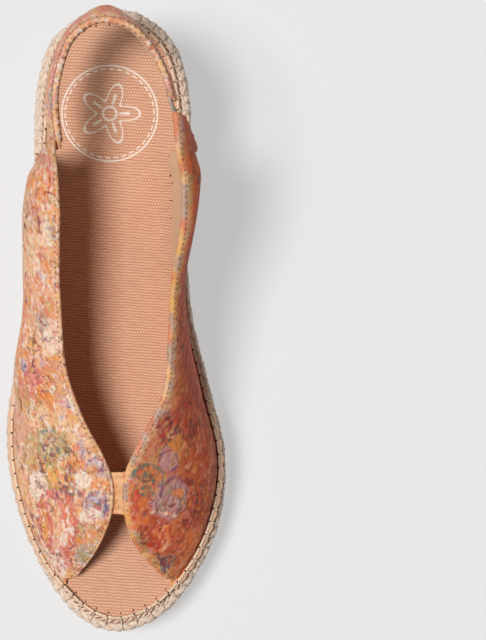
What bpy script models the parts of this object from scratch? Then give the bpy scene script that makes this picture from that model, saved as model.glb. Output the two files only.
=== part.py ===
"""Peep-toe slingback espadrille on a jute-wrapped wedge: the sandal of a right foot, size EU 37.

The toe points along -Y, the heel along +Y, +Z is up, and +X is the medial side, towards the other foot.
The origin lies on the ground under the middle of the sandal. Design numbers are in millimetres from a
design axis, and placed() turns them into metres from the origin. A "height" is measured above the
footbed, the surface the foot stands on.
"""

import math

import bpy
import numpy as np

MM = 0.001
MIDDLE = (-0.6, -2.1, 0.0)   # the middle of the sandal on the ground, from the design axis
GAP = 0.3                    # clearance between pieces that touch
SEWN_GAP = 0.4               # the same under the upper, which lies on curved pieces
LATERAL, MEDIAL = -1, 1      # the sign of X on the outer and the inner side of the foot

# ---- driving dimensions -------------------------------------------------------------------------
PLATFORM = 20.0              # ground to footbed under the ball of the foot
BALL = -55.0                 # y of the ball of the foot
OUTSOLE = 2.9                # rubber sheet
BRAID_PITCH = 7.9            # height of one jute braid with its gap, in the two that follow the footbed
GROUND_BRAID_PITCH = 8.3     # the same for the braids that lie parallel to the ground
GROUND_BRAIDS = 5
BRAID_DEPTH = 7.0            # how far a braid reaches in from the side of the sole
BRAID_CROWN = 0.9            # how far the middle of a braid stands proud of its edges
THINNEST_BRAID = 1.4         # a ground braid ends where less height than this is left for it
UNDERCUT = 0.045             # the side wall leans in by this share of its depth below the footbed
CANVAS = 1.0                 # insole cover
CUSHION = 2.0                # insole foam
BOARD = 1.6                  # insole board
CANVAS_STEP = 0.9            # from the sewing cord out to the edge of the canvas
INNER_INSET = BRAID_DEPTH + 0.6 + UNDERCUT * 20
WALL_STEP = 1.2              # from the sewing cord in to the line where the upper turns out
LIP_STEP = 1.5               # and from the cord out to the edge of the upper's turned-out lip
FABRIC = 1.1                 # printed outer fabric
STIFFENER = 0.6
LINING = 0.7
THREAD = 1.0                 # diameter of the sewing cord
TREAD_GROOVES = 15
TREAD_DEPTH = 1.1
TREAD_WIDTH = 3.0
TREAD_PITCH = 14.0

# Side view of the footbed: (y, height above the ground), from the toe to the heel. The ball of the foot
# stands at PLATFORM, the shank climbs at up to 25 degrees, and the toe springs up a little.
FOOTBED_LINE = [
    (-126, 23.8), (-112, 21.6), (-95, 20.3), (-75, PLATFORM), (-52, 20.3), (-30, 23.2), (-8, 29.2),
    (14, 37.8), (35, 47.4), (55, 54.0), (78, 57.8), (100, 60.0), (122, 62.0),
]
# Plan of the sole, as a closed smooth curve: toe tip, lateral side, heel, medial side.
SOLE_PLAN = [
    (2, -124), (-16, -118), (-31, -98), (-41.4, -70), (-44.2, -42), (-38.4, -8), (-33, 28), (-31, 60),
    (-30, 86), (-25, 106), (-13, 117), (0, 119.8), (12, 117), (23.5, 106), (28.8, 86), (28.8, 60),
    (27.6, 32), (29.4, 2), (36.5, -28), (42.5, -56), (38.5, -86), (22, -113.5),
]
# From the edge of the sole to the sewing cord, by y: it runs close to the edge along both sides.
CORD_INSETS = {
    LATERAL: [(-124, 5.5), (-112, 4.6), (-100, 2.7), (-90, 2.0), (20, 2.0), (60, 3.2), (75, 4.2), (122, 4.2)],
    MEDIAL: [
        (-124, 5.5), (-112, 4.6), (-98, 3.7), (-80, 3.2), (-62, 2.0), (20, 2.0), (60, 3.2), (75, 4.2),
        (122, 4.2),
    ],
}
HALF = 26                    # points along each side of the sole; a loop has twice as many
BEND_WEIGHT = 50             # how much closer together those points lie where the plan bends

# Stations of the side panels, from the toe to the rear of the wall that stands on the sole:
# (y on the sole, then x, y and height of the free edge above it, bulge of the wall, droop of the crown)
LATERAL_STATIONS = [
    (-105.0, -19.8, -105.6, 3.2, 0.3, 0.30),
    (-98.0, -14.8, -100.6, 7.5, 1.0, 0.20),
    (-90.0, -8.8, -93.0, 16.0, 2.0, 0.12),
    (-81.0, -3.8, -83.5, 24.5, 2.5, 0.08),
    (-72.0, -0.9, -74.0, 29.5, 3.0, 0.06),
    (-63.0, -0.6, -64.0, 32.6, 3.0, 0.06),
    (-52.0, -4.0, -53.5, 35.6, 3.0, 0.08),
    (-37.0, -12.0, -38.0, 39.6, 3.5, 0.12),
    (-19.0, -18.0, -19.5, 43.6, 10.8, 0.20),
    (1.0, -19.6, 1.0, 46.4, 9.0, 0.25),
    (22.0, -19.8, 21.5, 48.0, 12.0, 0.26),
    (41.0, -19.0, 39.0, 48.5, 14.6, 0.26),
    (55.0, -19.4, 50.0, 49.0, 12.0, 0.26),
]
MEDIAL_STATIONS = [
    (-106.0, 20.6, -105.4, 3.2, 0.0, 0.30),
    (-99.0, 17.8, -102.2, 7.0, 1.0, 0.20),
    (-91.5, 12.2, -96.2, 13.5, 2.0, 0.12),
    (-83.0, 7.2, -88.5, 20.5, 2.5, 0.08),
    (-74.0, 4.2, -79.5, 26.5, 3.0, 0.06),
    (-65.0, 3.2, -69.0, 31.0, 3.0, 0.06),
    (-55.0, 4.6, -59.0, 34.0, 3.0, 0.08),
    (-42.0, 11.0, -46.5, 37.6, 2.5, 0.12),
    (-25.0, 20.4, -28.5, 41.6, 2.5, 0.16),
    (-5.0, 23.0, -7.0, 44.8, 4.3, 0.18),
    (16.0, 24.6, 14.0, 46.8, 5.6, 0.20),
    (37.0, 28.0, 35.0, 47.6, 10.6, 0.20),
    (54.0, 28.0, 52.0, 48.0, 13.6, 0.20),
]
# Behind those, the panel's lower edge leaves the sole and climbs to the end of the strap:
# (x, y, z of the lower edge, x, y, z of the free edge, bulge)
LATERAL_REAR = [
    (-25.4, 61.0, 56.9, -19.8, 54.5, 103.5, 8.5),
    (-29.4, 61.0, 70.0, -20.3, 58.8, 104.6, 0.9),
    (-27.4, 62.4, 83.0, -20.7, 62.6, 105.3, 0.5),
    (-23.3, 66.8, 93.9, -20.9, 66.8, 105.8, 0.2),
]
MEDIAL_REAR = [
    (22.6, 62.6, 57.2, 27.2, 58.5, 103.9, 13.5),
    (31.6, 64.2, 70.0, 26.7, 64.3, 105.1, 3.2),
    (32.0, 67.6, 83.0, 26.2, 70.4, 106.1, 1.2),
    (28.6, 76.0, 94.9, 25.6, 77.4, 106.8, 0.2),
]
STATIONS = {LATERAL: LATERAL_STATIONS, MEDIAL: MEDIAL_STATIONS}
REAR = {LATERAL: LATERAL_REAR, MEDIAL: MEDIAL_REAR}

# The heel strap's outer face, from its lateral to its medial end: its upper and its lower edge.
STRAP_TOP = [
    (-18.7, 63.4, 105.2), (-19.7, 69, 106.0), (-20.7, 79, 107.4), (-19.9, 89, 108.4), (-15.8, 102.5, 109.4),
    (-8.4, 110, 110.0), (0.3, 111.9, 110.2), (9.8, 109, 110.0), (17.2, 101, 109.5), (22.2, 91, 108.6),
    (25.0, 81.8, 107.6),
]
STRAP_BOTTOM = [
    (-21.0, 63.4, 93.6), (-22.2, 69, 94.3), (-23.2, 79, 95.2), (-22.3, 90, 96.2), (-17.0, 105.2, 97.2),
    (-8.6, 113.8, 97.5), (-1.0, 116.6, 97.5), (6.0, 113.6, 97.5), (15.0, 104.4, 97.1), (21.6, 92.4, 96.3),
    (24.9, 81.8, 95.5),
]
STRAP_TAPER = 5.0            # length over which each end of the strap narrows to its nose
NOSE = 0.4                   # height of the nose, as a share of the strap's height
HINGE_BACK = 2.6             # the hinge line runs this far behind the two ends of the strap
LATERAL_ANCHOR = (-20.4, 66.0, 99.7)
MEDIAL_ANCHOR = (24.3, 84.4, 101.6)
ELASTIC = 1.2


# ---- curves -------------------------------------------------------------------------------------
def smooth_curve(points, t):
    """Catmull-Rom curve through the points, at t counted in points from 0."""
    points = np.asarray(points, float)
    last = len(points) - 1
    i = int(min(max(math.floor(t), 0), last - 1))
    f = t - i
    before = points[i - 1] if i > 0 else 2 * points[0] - points[1]
    after = points[i + 2] if i + 2 <= last else 2 * points[last] - points[last - 1]
    a, b = points[i], points[i + 1]
    return 0.5 * (2 * a + (b - before) * f + (2 * before - 5 * a + 4 * b - after) * f * f
                  + (3 * a - before - 3 * b + after) * f ** 3)


def closed_curve(points, per_span):
    """Points of the closed Catmull-Rom curve, per_span to each span."""
    ring = [points[-1], *points, points[0], points[1]]
    return np.array([smooth_curve(ring, 1 + k / per_span) for k in range(len(points) * per_span)])


def spaced(path, count, bend_weight=0.0):
    """count points spaced along a path, both ends included: evenly, or closer together where it bends."""
    steps = np.diff(path, axis=0)
    lengths = np.linalg.norm(steps, axis=1)
    headings = np.unwrap(np.arctan2(steps[:, 1], steps[:, 0]))
    lengths = lengths + bend_weight * np.abs(np.gradient(headings))
    along = np.concatenate([[0], np.cumsum(lengths)])
    wanted = np.linspace(0, along[-1], count)
    return np.stack([np.interp(wanted, along, path[:, k]) for k in range(path.shape[1])], axis=1)


def footbed(y):
    """Height of the footbed above the ground at y."""
    line = np.array(FOOTBED_LINE)
    t = np.interp(y, line[:, 0], np.arange(len(line)))
    low, high = int(min(t, len(line) - 2)), int(min(t, len(line) - 2)) + 1
    share = (y - line[low, 0]) / (line[high, 0] - line[low, 0])
    slopes = np.gradient(line[:, 1], line[:, 0])
    span = line[high, 0] - line[low, 0]
    h00, h10 = 2 * share ** 3 - 3 * share ** 2 + 1, share ** 3 - 2 * share ** 2 + share
    h01, h11 = -2 * share ** 3 + 3 * share ** 2, share ** 3 - share ** 2
    from_low = h00 * line[low, 1] + h10 * span * slopes[low]
    return float(from_low + h01 * line[high, 1] + h11 * span * slopes[high])


def underside(y):
    """Height of the ground face: flat, with the toe sprung up as the footbed is."""
    return max(0.0, footbed(y) - PLATFORM) if y < FOOTBED_LINE[3][0] else 0.0


def sole_loop():
    """The sole's plan: its points, toe tip first, down the lateral side, and their outward normals."""
    curve = closed_curve(SOLE_PLAN, 16)
    heel = int(curve[:, 1].argmax())
    lateral = spaced(curve[:heel + 1], HALF + 1, BEND_WEIGHT)
    medial = spaced(np.vstack([curve[heel:], curve[:1]]), HALF + 1, BEND_WEIGHT)
    points = np.vstack([lateral[:-1], medial[:-1]])
    along = np.roll(points, -1, axis=0) - np.roll(points, 1, axis=0)
    outward = np.stack([-along[:, 1], along[:, 0]], axis=1)
    outward /= np.linalg.norm(outward, axis=1)[:, None]
    if (outward * points).sum() < 0:
        outward = -outward
    return points, outward


PLAN, OUTWARD = sole_loop()


def inset_loop(inset):
    """The plan moved in by inset, a number or one for each point."""
    return PLAN - OUTWARD * np.broadcast_to(inset, len(PLAN))[:, None]


def cord_insets():
    """Inset of the sewing cord at each point of the plan."""
    sides = [LATERAL if i <= HALF else MEDIAL for i in range(len(PLAN))]
    return np.array([np.interp(y, *zip(*CORD_INSETS[side])) for side, y in zip(sides, PLAN[:, 1])])


CORD = cord_insets()


def edge_at(side, y, inset):
    """x of the inset plan at y on that side of the foot, and the outward normal there."""
    part = slice(0, HALF + 1) if side == LATERAL else [*range(HALF, 2 * HALF), 0]
    loop, normals = inset_loop(inset)[part], OUTWARD[part]
    order = np.argsort(loop[:, 1])
    x = np.interp(y, loop[order, 1], loop[order, 0])
    normal = [np.interp(y, loop[order, 1], normals[order, k]) for k in (0, 1)]
    return float(x), np.array([*normal, 0.0]) / np.linalg.norm(normal)


# ---- meshes -------------------------------------------------------------------------------------
def material(name, colour, roughness):
    found = bpy.data.materials.get(name)
    if found:
        return found
    made = bpy.data.materials.new(name)
    made.use_nodes = True
    shader = made.node_tree.nodes["Principled BSDF"]
    shader.inputs["Base Color"].default_value = (*colour, 1.0)
    shader.inputs["Roughness"].default_value = roughness
    shader.inputs["Metallic"].default_value = 0.0
    return made


def print_fabric():
    return material("printed_fabric", (0.74, 0.36, 0.20), 0.8)


def jute():
    return material("jute", (0.68, 0.50, 0.38), 0.95)


def placed(point):
    """A design point in metres from the origin."""
    return (np.asarray(point, float) - MIDDLE) * MM


def add_mesh(name, vertices, faces, look, pivot=MIDDLE):
    """One object from points in millimetres. Its origin is the pivot."""
    mesh = bpy.data.meshes.new(name)
    mesh.from_pydata(((np.asarray(vertices, float) - pivot) * MM).tolist(), [], faces)
    mesh.materials.append(look)
    mesh.validate()
    mesh.update()
    mesh.shade_smooth()
    mesh.set_sharp_from_angle(angle=math.radians(35))
    made = bpy.data.objects.new(name, mesh)
    made.location = placed(pivot)
    bpy.context.scene.collection.objects.link(made)
    return made


def triangle_volume(vertices, faces):
    """Six times the signed volume inside the faces, which tells whether they point out."""
    total = 0.0
    for face in faces:
        for k in range(1, len(face) - 1):
            total += np.linalg.det([vertices[face[0]], vertices[face[k]], vertices[face[k + 1]]])
    return total


def facing_out(vertices, faces):
    vertices = np.asarray(vertices, float)
    return faces if triangle_volume(vertices, faces) > 0 else [face[::-1] for face in faces]


def plate(name, inset, top, bottom, look):
    """A sheet with the sole's plan, moved in by inset, between the surfaces top(y) and bottom(y)."""
    loop = inset_loop(inset)
    count = len(loop)
    vertices = [(x, y, top(y)) for x, y in loop] + [(x, y, bottom(y)) for x, y in loop]
    faces = []
    for level, turn in ((0, 1), (count, -1)):
        across = [(level, level + 1, level + count - 1)]
        for i in range(1, HALF - 1):
            across.append((level + i, level + i + 1, level + count - i - 1, level + count - i))
        across += [(level + HALF - 1, level + HALF, level + HALF + 1)]
        faces += [face[::turn] for face in across]
    for i in range(count):
        j = (i + 1) % count
        faces.append((i, i + count, j + count, j))
    return add_mesh(name, vertices, facing_out(vertices, faces), look)


def swept(name, sections, look, closed=False, pivot=MIDDLE):
    """A solid through matching sections. It closes on itself, or has a flat cap at each end."""
    count, size = len(sections), len(sections[0])
    vertices = np.vstack(sections)
    faces = []
    for i in range(count if closed else count - 1):
        for k in range(size):
            here, there = i * size, ((i + 1) % count) * size
            m = (k + 1) % size
            faces.append((here + k, here + m, there + m, there + k))
    if not closed:
        faces.append(tuple(range(size))[::-1])
        faces.append(tuple(range((count - 1) * size, count * size)))
    return add_mesh(name, vertices, facing_out(vertices, faces), look, pivot)


def sheet_solid(name, outer, inner, look, pivot=MIDDLE):
    """A solid between two grids of points of one shape, closed by a rim."""
    rows, columns = outer.shape[:2]
    vertices = np.vstack([outer.reshape(-1, 3), inner.reshape(-1, 3)])
    back = rows * columns
    faces = []
    for i in range(rows - 1):
        for k in range(columns - 1):
            a, b = i * columns + k, (i + 1) * columns + k
            faces.append((a, a + 1, b + 1, b))
            faces.append((back + a, back + b, back + b + 1, back + a + 1))
    rim = [k for k in range(columns)]
    rim += [i * columns + columns - 1 for i in range(1, rows)]
    rim += [(rows - 1) * columns + k for k in range(columns - 2, -1, -1)]
    rim += [i * columns for i in range(rows - 2, 0, -1)]
    for a, b in zip(rim, [*rim[1:], rim[0]]):
        faces.append((a, back + a, back + b, b))
    return add_mesh(name, vertices, facing_out(vertices, faces), look, pivot)


def grid_normals(grid, outward):
    """Unit normals of a grid of points, on the side that outward points to."""
    along = np.gradient(grid, axis=0)
    up = np.gradient(grid, axis=1)
    normals = np.cross(along, up)
    normals /= np.linalg.norm(normals, axis=2)[:, :, None] + 1e-12
    middle = normals[normals.shape[0] // 2, normals.shape[1] // 2]
    return normals if np.dot(middle, outward) > 0 else -normals


# ---- sole ---------------------------------------------------------------------------------------
def plan_y(place):
    return float(np.interp(place, np.arange(len(PLAN)), PLAN[:, 1]))


def footbed_braid_band(number, y):
    """Lower and upper height of the braids that follow the footbed; number 0 is the upper one."""
    top = footbed(y) - CANVAS - GAP - number * BRAID_PITCH
    return top - BRAID_PITCH + GAP, top


def ground_braid_band(number, y):
    """The same for the braids parallel to the ground; number 0 is the lowest. The slope above cuts them."""
    bottom = OUTSOLE + GAP + number * GROUND_BRAID_PITCH
    ceiling = footbed_braid_band(1, y)[0] - GAP
    return bottom, min(bottom + GROUND_BRAID_PITCH - GAP, ceiling)


def braid_section(place, band):
    """Section of a braid, crowned outside. place counts the plan's points; band(y) gives two heights."""
    i, j, share = int(place), (int(place) + 1) % len(PLAN), place - int(place)
    point = PLAN[i] + (PLAN[j] - PLAN[i]) * share
    outward = OUTWARD[i] + (OUTWARD[j] - OUTWARD[i]) * share
    lean = UNDERCUT * (footbed(point[1]) - sum(band(point[1])) / 2)
    section = []
    for inset, level in ((BRAID_CROWN, 0), (0, 0.5), (BRAID_CROWN, 1), (BRAID_DEPTH, 1), (BRAID_DEPTH, 0)):
        x, y = point - outward * (inset + lean)
        low, high = band(y)
        section.append((x, y, low + (high - low) * level))
    return section


def footbed_braids():
    for number, name in enumerate(("jute_braid_1_top", "jute_braid_2")):
        sections = [braid_section(i, lambda y: footbed_braid_band(number, y)) for i in range(len(PLAN))]
        swept(name, sections, jute(), closed=True)


def ground_braids():
    """Horseshoes round the heel, each tapering off towards the toe where the slope above cuts into it."""
    for number in range(GROUND_BRAIDS):
        def left_at(place):
            low, high = ground_braid_band(number, plan_y(place) + BRAID_DEPTH / 4)
            return high - low if plan_y(place) > BALL else 0.0

        places = np.arange(0, len(PLAN) - 1, 0.125)
        thick = [place for place in places if left_at(place) >= THINNEST_BRAID]
        whole = [place for place in range(len(PLAN)) if thick[0] + 0.3 < place < thick[-1] - 0.3]
        sections = [braid_section(place, lambda y: ground_braid_band(number, y))
                    for place in [thick[0], *whole, thick[-1]]]
        swept(f"jute_braid_{7 - number}", sections, jute())


LEAN = UNDERCUT * np.array([footbed(y) for y in PLAN[:, 1]])


def wedge_core():
    look = material("eva_foam", (0.78, 0.70, 0.58), 0.9)
    plate("wedge_core", BRAID_DEPTH + GAP + LEAN,
          lambda y: footbed(y) - CANVAS - CUSHION - BOARD - 3 * GAP,
          lambda y: underside(y) + OUTSOLE + GAP, look)


def insole():
    under_canvas = CANVAS + GAP
    under_cushion = under_canvas + CUSHION + GAP
    plate("insole_cover", CORD - CANVAS_STEP, footbed, lambda y: footbed(y) - CANVAS,
          material("canvas", (0.62, 0.36, 0.25), 0.9))
    plate("insole_cushion", INNER_INSET, lambda y: footbed(y) - under_canvas,
          lambda y: footbed(y) - under_canvas - CUSHION, material("foam", (0.85, 0.82, 0.74), 0.95))
    plate("insole_board", INNER_INSET, lambda y: footbed(y) - under_cushion,
          lambda y: footbed(y) - under_cushion - BOARD, material("fibre_board", (0.60, 0.47, 0.33), 0.9))


def groove_cutter():
    """Boxes across the ground face, as one mesh that only cuts."""
    vertices, faces = [], []
    for k in range(TREAD_GROOVES):
        y = (k - (TREAD_GROOVES - 1) / 2) * TREAD_PITCH
        first = len(vertices)
        vertices += [(x, y + dy, z) for z in (-TREAD_DEPTH, TREAD_DEPTH)
                     for x, dy in ((-60, -TREAD_WIDTH / 2), (60, -TREAD_WIDTH / 2),
                                   (60, TREAD_WIDTH / 2), (-60, TREAD_WIDTH / 2))]
        box = ((3, 2, 1, 0), (4, 5, 6, 7), (0, 1, 5, 4), (1, 2, 6, 5), (2, 3, 7, 6), (3, 0, 4, 7))
        faces += [tuple(first + corner for corner in face) for face in box]
    cutter = add_mesh("tread_cutter", vertices, faces, material("rubber", (0.70, 0.52, 0.36), 0.7))
    cutter.hide_render = True
    cutter.display_type = "WIRE"
    return cutter


def outsole():
    sole = plate("outsole", 0.4 + LEAN, lambda y: underside(y) + OUTSOLE,
                 underside, material("rubber", (0.70, 0.52, 0.36), 0.7))
    cut = sole.modifiers.new("tread", "BOOLEAN")
    cut.object = groove_cutter()
    cut.operation = "DIFFERENCE"


# ---- upper --------------------------------------------------------------------------------------
def station_values(side):
    """For each station of a panel: its base on the stitch line, its free edge, bulge, droop and lip."""
    values = []
    for base_y, x, y, height, bulge, droop in STATIONS[side]:
        base_x, _ = edge_at(side, base_y, CORD + WALL_STEP)
        base_z = footbed(base_y) + SEWN_GAP + FABRIC
        values.append((base_x, base_y, base_z, x, y, footbed(y) + height, bulge, droop))
    values += [(*row[:6], row[6], 0.25) for row in REAR[side]]
    return np.array(values)


LAST_SEWN = len(LATERAL_STATIONS) - 1
PANELS = {side: station_values(side) for side in (LATERAL, MEDIAL)}
PANEL_STATIONS = np.arange(0, len(PANELS[LATERAL]) - 0.9, 0.5)
PANEL_HEIGHTS = (0.1, 0.24, 0.38, 0.52, 0.66, 0.8, 0.92, 1.0)


def panel_point(side, u, v):
    """Outer face of a panel: u counts stations from the toe, and v runs from the stitch line to the edge."""
    value = smooth_curve(PANELS[side], u)
    base, edge, bulge, droop = value[:3], value[3:6], value[6], value[7]
    outward = np.array([side, 0.0, 0.0])
    if u <= LAST_SEWN:
        base[0], outward = edge_at(side, base[1], CORD + WALL_STEP)
        base[2] = 0
    base[2] = max(base[2], footbed(base[1]) + SEWN_GAP + FABRIC)
    height = edge[2] - base[2]
    run = (edge - base) * (1, 1, 0)
    low = base + outward * 0.6 * bulge + (0, 0, 0.45 * height)
    high = edge - 0.5 * run + outward * bulge - (0, 0, droop * height)
    w = 1 - v
    return w ** 3 * base + 3 * w * w * v * low + 3 * w * v * v * high + v ** 3 * edge


def panel_normal(side, u, v):
    """Unit normal of the outer face."""
    last, step = len(PANELS[side]) - 1, 0.02
    along = panel_point(side, min(u + step, last), v) - panel_point(side, max(u - step, 0), v)
    up = panel_point(side, u, min(v + step, 1)) - panel_point(side, u, max(v - step, 0))
    normal = np.cross(along, up)
    normal *= side / np.linalg.norm(normal)
    return normal


def inside_panel(side, u, v, depth):
    return panel_point(side, u, v) - panel_normal(side, u, v) * depth


def foot_of_panel(side, u):
    """The lip that turns out over the jute, then the corner on the stitch line: outer points, inner points.

    Where the panel has left the sole there is no lip, and the wall runs on down instead.
    """
    base, normal = panel_point(side, u, 0), panel_normal(side, u, 0)
    down = base - panel_point(side, u, 0.05)
    down /= np.linalg.norm(down)
    outward = edge_at(side, base[1], CORD + WALL_STEP)[1]
    free = min(max(u - LAST_SEWN, 0.0), 1.0)
    drop = 0.2 * free + 0.6 * min(max(u - LAST_SEWN - 1, 0.0), 1.0)
    lip = base + (1 - free) * outward * (WALL_STEP + LIP_STEP) + down * drop
    lip[2] += (1 - free) * (footbed(lip[1]) - footbed(base[1]))
    corner = base - FABRIC * ((1 - free) * (outward + (0, 0, 1)) + free * normal)
    lip_inner = lip - FABRIC * ((1 - free) * np.array([0, 0, 1]) + free * normal)
    return (lip, base), (lip_inner, corner)


def upper_panel(side, word):
    """Printed outer fabric of one side, with the lip that is sewn to the sole."""
    outer, inner = [], []
    for u in PANEL_STATIONS:
        outer_foot, inner_foot = foot_of_panel(side, u)
        outer.append([*outer_foot, *(panel_point(side, u, v) for v in PANEL_HEIGHTS)])
        inner.append([*inner_foot, *(inside_panel(side, u, v, FABRIC) for v in PANEL_HEIGHTS)])
    sheet_solid(f"upper_{word}", np.array(outer), np.array(inner), print_fabric())


def layer(name, side, stations, heights, depth, thickness, look):
    """A sheet behind the outer fabric, on the same stations and heights."""
    faces = [np.array([[inside_panel(side, u, v, deep) for v in heights] for u in stations])
             for deep in (depth, depth + thickness)]
    sheet_solid(name, *faces, look)


def inner_layers(side, word):
    """Stiffener and lining. The stiffener stops short of the folded free edge."""
    depth = FABRIC + GAP
    layer(f"stiffener_{word}", side, PANEL_STATIONS[5:25], PANEL_HEIGHTS[1:6], depth, STIFFENER,
          material("stiffener", (0.88, 0.86, 0.80), 0.9))
    depth += STIFFENER + GAP
    layer(f"lining_{word}", side, PANEL_STATIONS[3:26], PANEL_HEIGHTS[1:], depth, LINING,
          material("lining", (0.86, 0.76, 0.55), 0.85))


def throat_bridge():
    """The tab between the two panels, in the layer behind their outer fabric."""
    rows = 7
    lateral = np.linspace(3.6, 5.6, rows)
    medial = np.linspace(4.1, 6.1, rows)
    top, bottom = [], []
    depth = FABRIC + GAP
    for a, b in zip(lateral, medial):
        points = [(LATERAL, a, v) for v in (0.86, 0.93, 0.99)] + [(MEDIAL, b, v) for v in (0.99, 0.93, 0.86)]
        top.append([inside_panel(side, u, v, depth) for side, u, v in points])
        bottom.append([inside_panel(side, u, v, depth + STIFFENER) for side, u, v in points])
    sheet_solid("throat_bridge", np.array(top), np.array(bottom), print_fabric())


# ---- heel strap ---------------------------------------------------------------------------------
def strap_grid(count, levels):
    """Outer face of the strap. Its height shrinks at both ends to the nose that turns in the panel's end."""
    top = spaced(np.array([smooth_curve(STRAP_TOP, t) for t in np.linspace(0, len(STRAP_TOP) - 1, 200)]), 400)
    stations = np.linspace(0, len(STRAP_BOTTOM) - 1, 200)
    bottom = spaced(np.array([smooth_curve(STRAP_BOTTOM, t) for t in stations]), 400)
    length = np.linalg.norm(np.diff((top + bottom) / 2, axis=0), axis=1).sum()
    ends = np.array([0, 1.2, 2.4, 3.6, STRAP_TAPER])
    straight = np.linspace(STRAP_TAPER, length - STRAP_TAPER, count)[1:-1]
    stops = np.concatenate([ends, straight, (length - ends)[::-1]])
    rows = []
    for stop in stops:
        place = stop / length * (len(top) - 1)
        high = np.array([np.interp(place, np.arange(len(top)), top[:, k]) for k in range(3)])
        low = np.array([np.interp(place, np.arange(len(top)), bottom[:, k]) for k in range(3)])
        middle = (high + low) / 2
        from_end = min(stop, length - stop, STRAP_TAPER) / STRAP_TAPER
        share = NOSE + (1 - NOSE) * math.sin(from_end * math.pi / 2)
        rows.append([middle + (high - middle) * share * level for level in levels])
    return np.array(rows)


def heel_strap():
    grid = strap_grid(26, np.linspace(-1, 1, 4))
    normals = grid_normals(grid, (0, 1, 0.3))
    pivot = LATERAL_ANCHOR
    sheet_solid("heel_strap", grid, grid - normals * FABRIC, print_fabric(), pivot)
    inner = FABRIC + GAP
    sheet_solid("heel_strap_lining", grid - normals * inner, grid - normals * (inner + LINING),
                material("lining", (0.86, 0.76, 0.55), 0.85), pivot)


def strap_elastic():
    """Flat elastic: tucked in behind the medial panel's end, and reaching back to the strap's medial end."""
    behind = FABRIC + GAP
    rows = [[inside_panel(MEDIAL, u, v, behind) for v in (0.12, 0.88)] for u in (15.1, 15.5, 15.9)]
    strap_end = [(24.0, 80.8, 96.7), (23.7, 80.8, 106.3)]
    grid = np.array([*rows, strap_end])
    sheet_solid("strap_elastic", grid, grid - (ELASTIC, 0, 0), material("elastic", (0.62, 0.60, 0.55), 0.8),
                LATERAL_ANCHOR)


# ---- sewing -------------------------------------------------------------------------------------
def seam_rise(side, y):
    """How far the sewing cord lies above the footbed: on the upper's lip, or on the canvas elsewhere."""
    front, back = STATIONS[side][0][0], REAR[side][0][1]
    on_lip = min(1.0, max(0.0, (y - front + 12) / 4)) * min(1.0, max(0.0, (back + 6 - y) / 4))
    return SEWN_GAP + THREAD / 2 + on_lip * (FABRIC + SEWN_GAP)


def edge_seam():
    """The cord of the blanket stitch, laid round the sole just outside the walls of the upper."""
    corners = inset_loop(CORD)
    halves = (corners + np.roll(corners, -1, axis=0)) / 2
    points = np.stack([corners, halves], axis=1).reshape(-1, 2)
    curve = bpy.data.curves.new("edge_seam_cord", "CURVE")
    curve.dimensions = "3D"
    curve.bevel_depth = THREAD / 2 * MM
    curve.bevel_resolution = 0
    spline = curve.splines.new("POLY")
    spline.points.add(len(points) - 1)
    spline.use_cyclic_u = True
    for i, (x, y) in enumerate(points):
        side = LATERAL if i <= 2 * HALF else MEDIAL
        spline.points[i].co = (*placed((x, y, footbed(y) + seam_rise(side, y))), 1)
    made = bpy.data.objects.new("edge_seam_cord", curve)
    curve.materials.append(material("thread", (0.86, 0.74, 0.58), 0.8))
    bpy.context.scene.collection.objects.link(made)


def main():
    for old in list(bpy.data.objects):
        bpy.data.objects.remove(old)
    outsole()
    wedge_core()
    footbed_braids()
    ground_braids()
    insole()
    for side, word in ((LATERAL, "lateral"), (MEDIAL, "medial")):
        upper_panel(side, word)
        inner_layers(side, word)
    throat_bridge()
    heel_strap()
    strap_elastic()
    edge_seam()


main()
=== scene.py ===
"""The looks of a peep-toe slingback espadrille on a jute-wrapped wedge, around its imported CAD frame.

Design numbers are in millimetres from the design axis, as in the part's source: the toe points along -Y,
+Z is up, and the lateral side is -X. placed() turns them into metres in the frame. The upper's panels are
laid out in (u, v): u counts stations from the toe, and v runs from the stitch line, 0, to the free edge, 1.
"""

import math

import bpy
import numpy as np
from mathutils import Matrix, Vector


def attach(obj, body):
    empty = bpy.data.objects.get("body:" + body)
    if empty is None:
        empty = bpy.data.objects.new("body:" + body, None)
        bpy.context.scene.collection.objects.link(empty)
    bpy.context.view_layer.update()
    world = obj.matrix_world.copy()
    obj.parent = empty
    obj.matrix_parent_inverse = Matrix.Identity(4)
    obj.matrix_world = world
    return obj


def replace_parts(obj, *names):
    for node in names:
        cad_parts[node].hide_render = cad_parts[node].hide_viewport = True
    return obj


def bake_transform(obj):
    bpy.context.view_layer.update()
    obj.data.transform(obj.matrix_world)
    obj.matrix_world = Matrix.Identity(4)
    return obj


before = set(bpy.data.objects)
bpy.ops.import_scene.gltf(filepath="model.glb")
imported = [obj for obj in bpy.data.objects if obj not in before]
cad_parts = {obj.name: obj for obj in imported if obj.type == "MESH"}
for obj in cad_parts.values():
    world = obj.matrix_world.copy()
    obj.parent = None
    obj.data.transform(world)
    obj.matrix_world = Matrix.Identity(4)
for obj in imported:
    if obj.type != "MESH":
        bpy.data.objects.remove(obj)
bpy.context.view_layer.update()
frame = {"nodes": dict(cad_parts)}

MM = 0.001
SHIFT = np.array([0.6, 2.1, 0.0])        # from the design axis to the frame's origin
LATERAL, MEDIAL = -1, 1                  # the sign of X on the outer and the inner side of the foot

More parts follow.
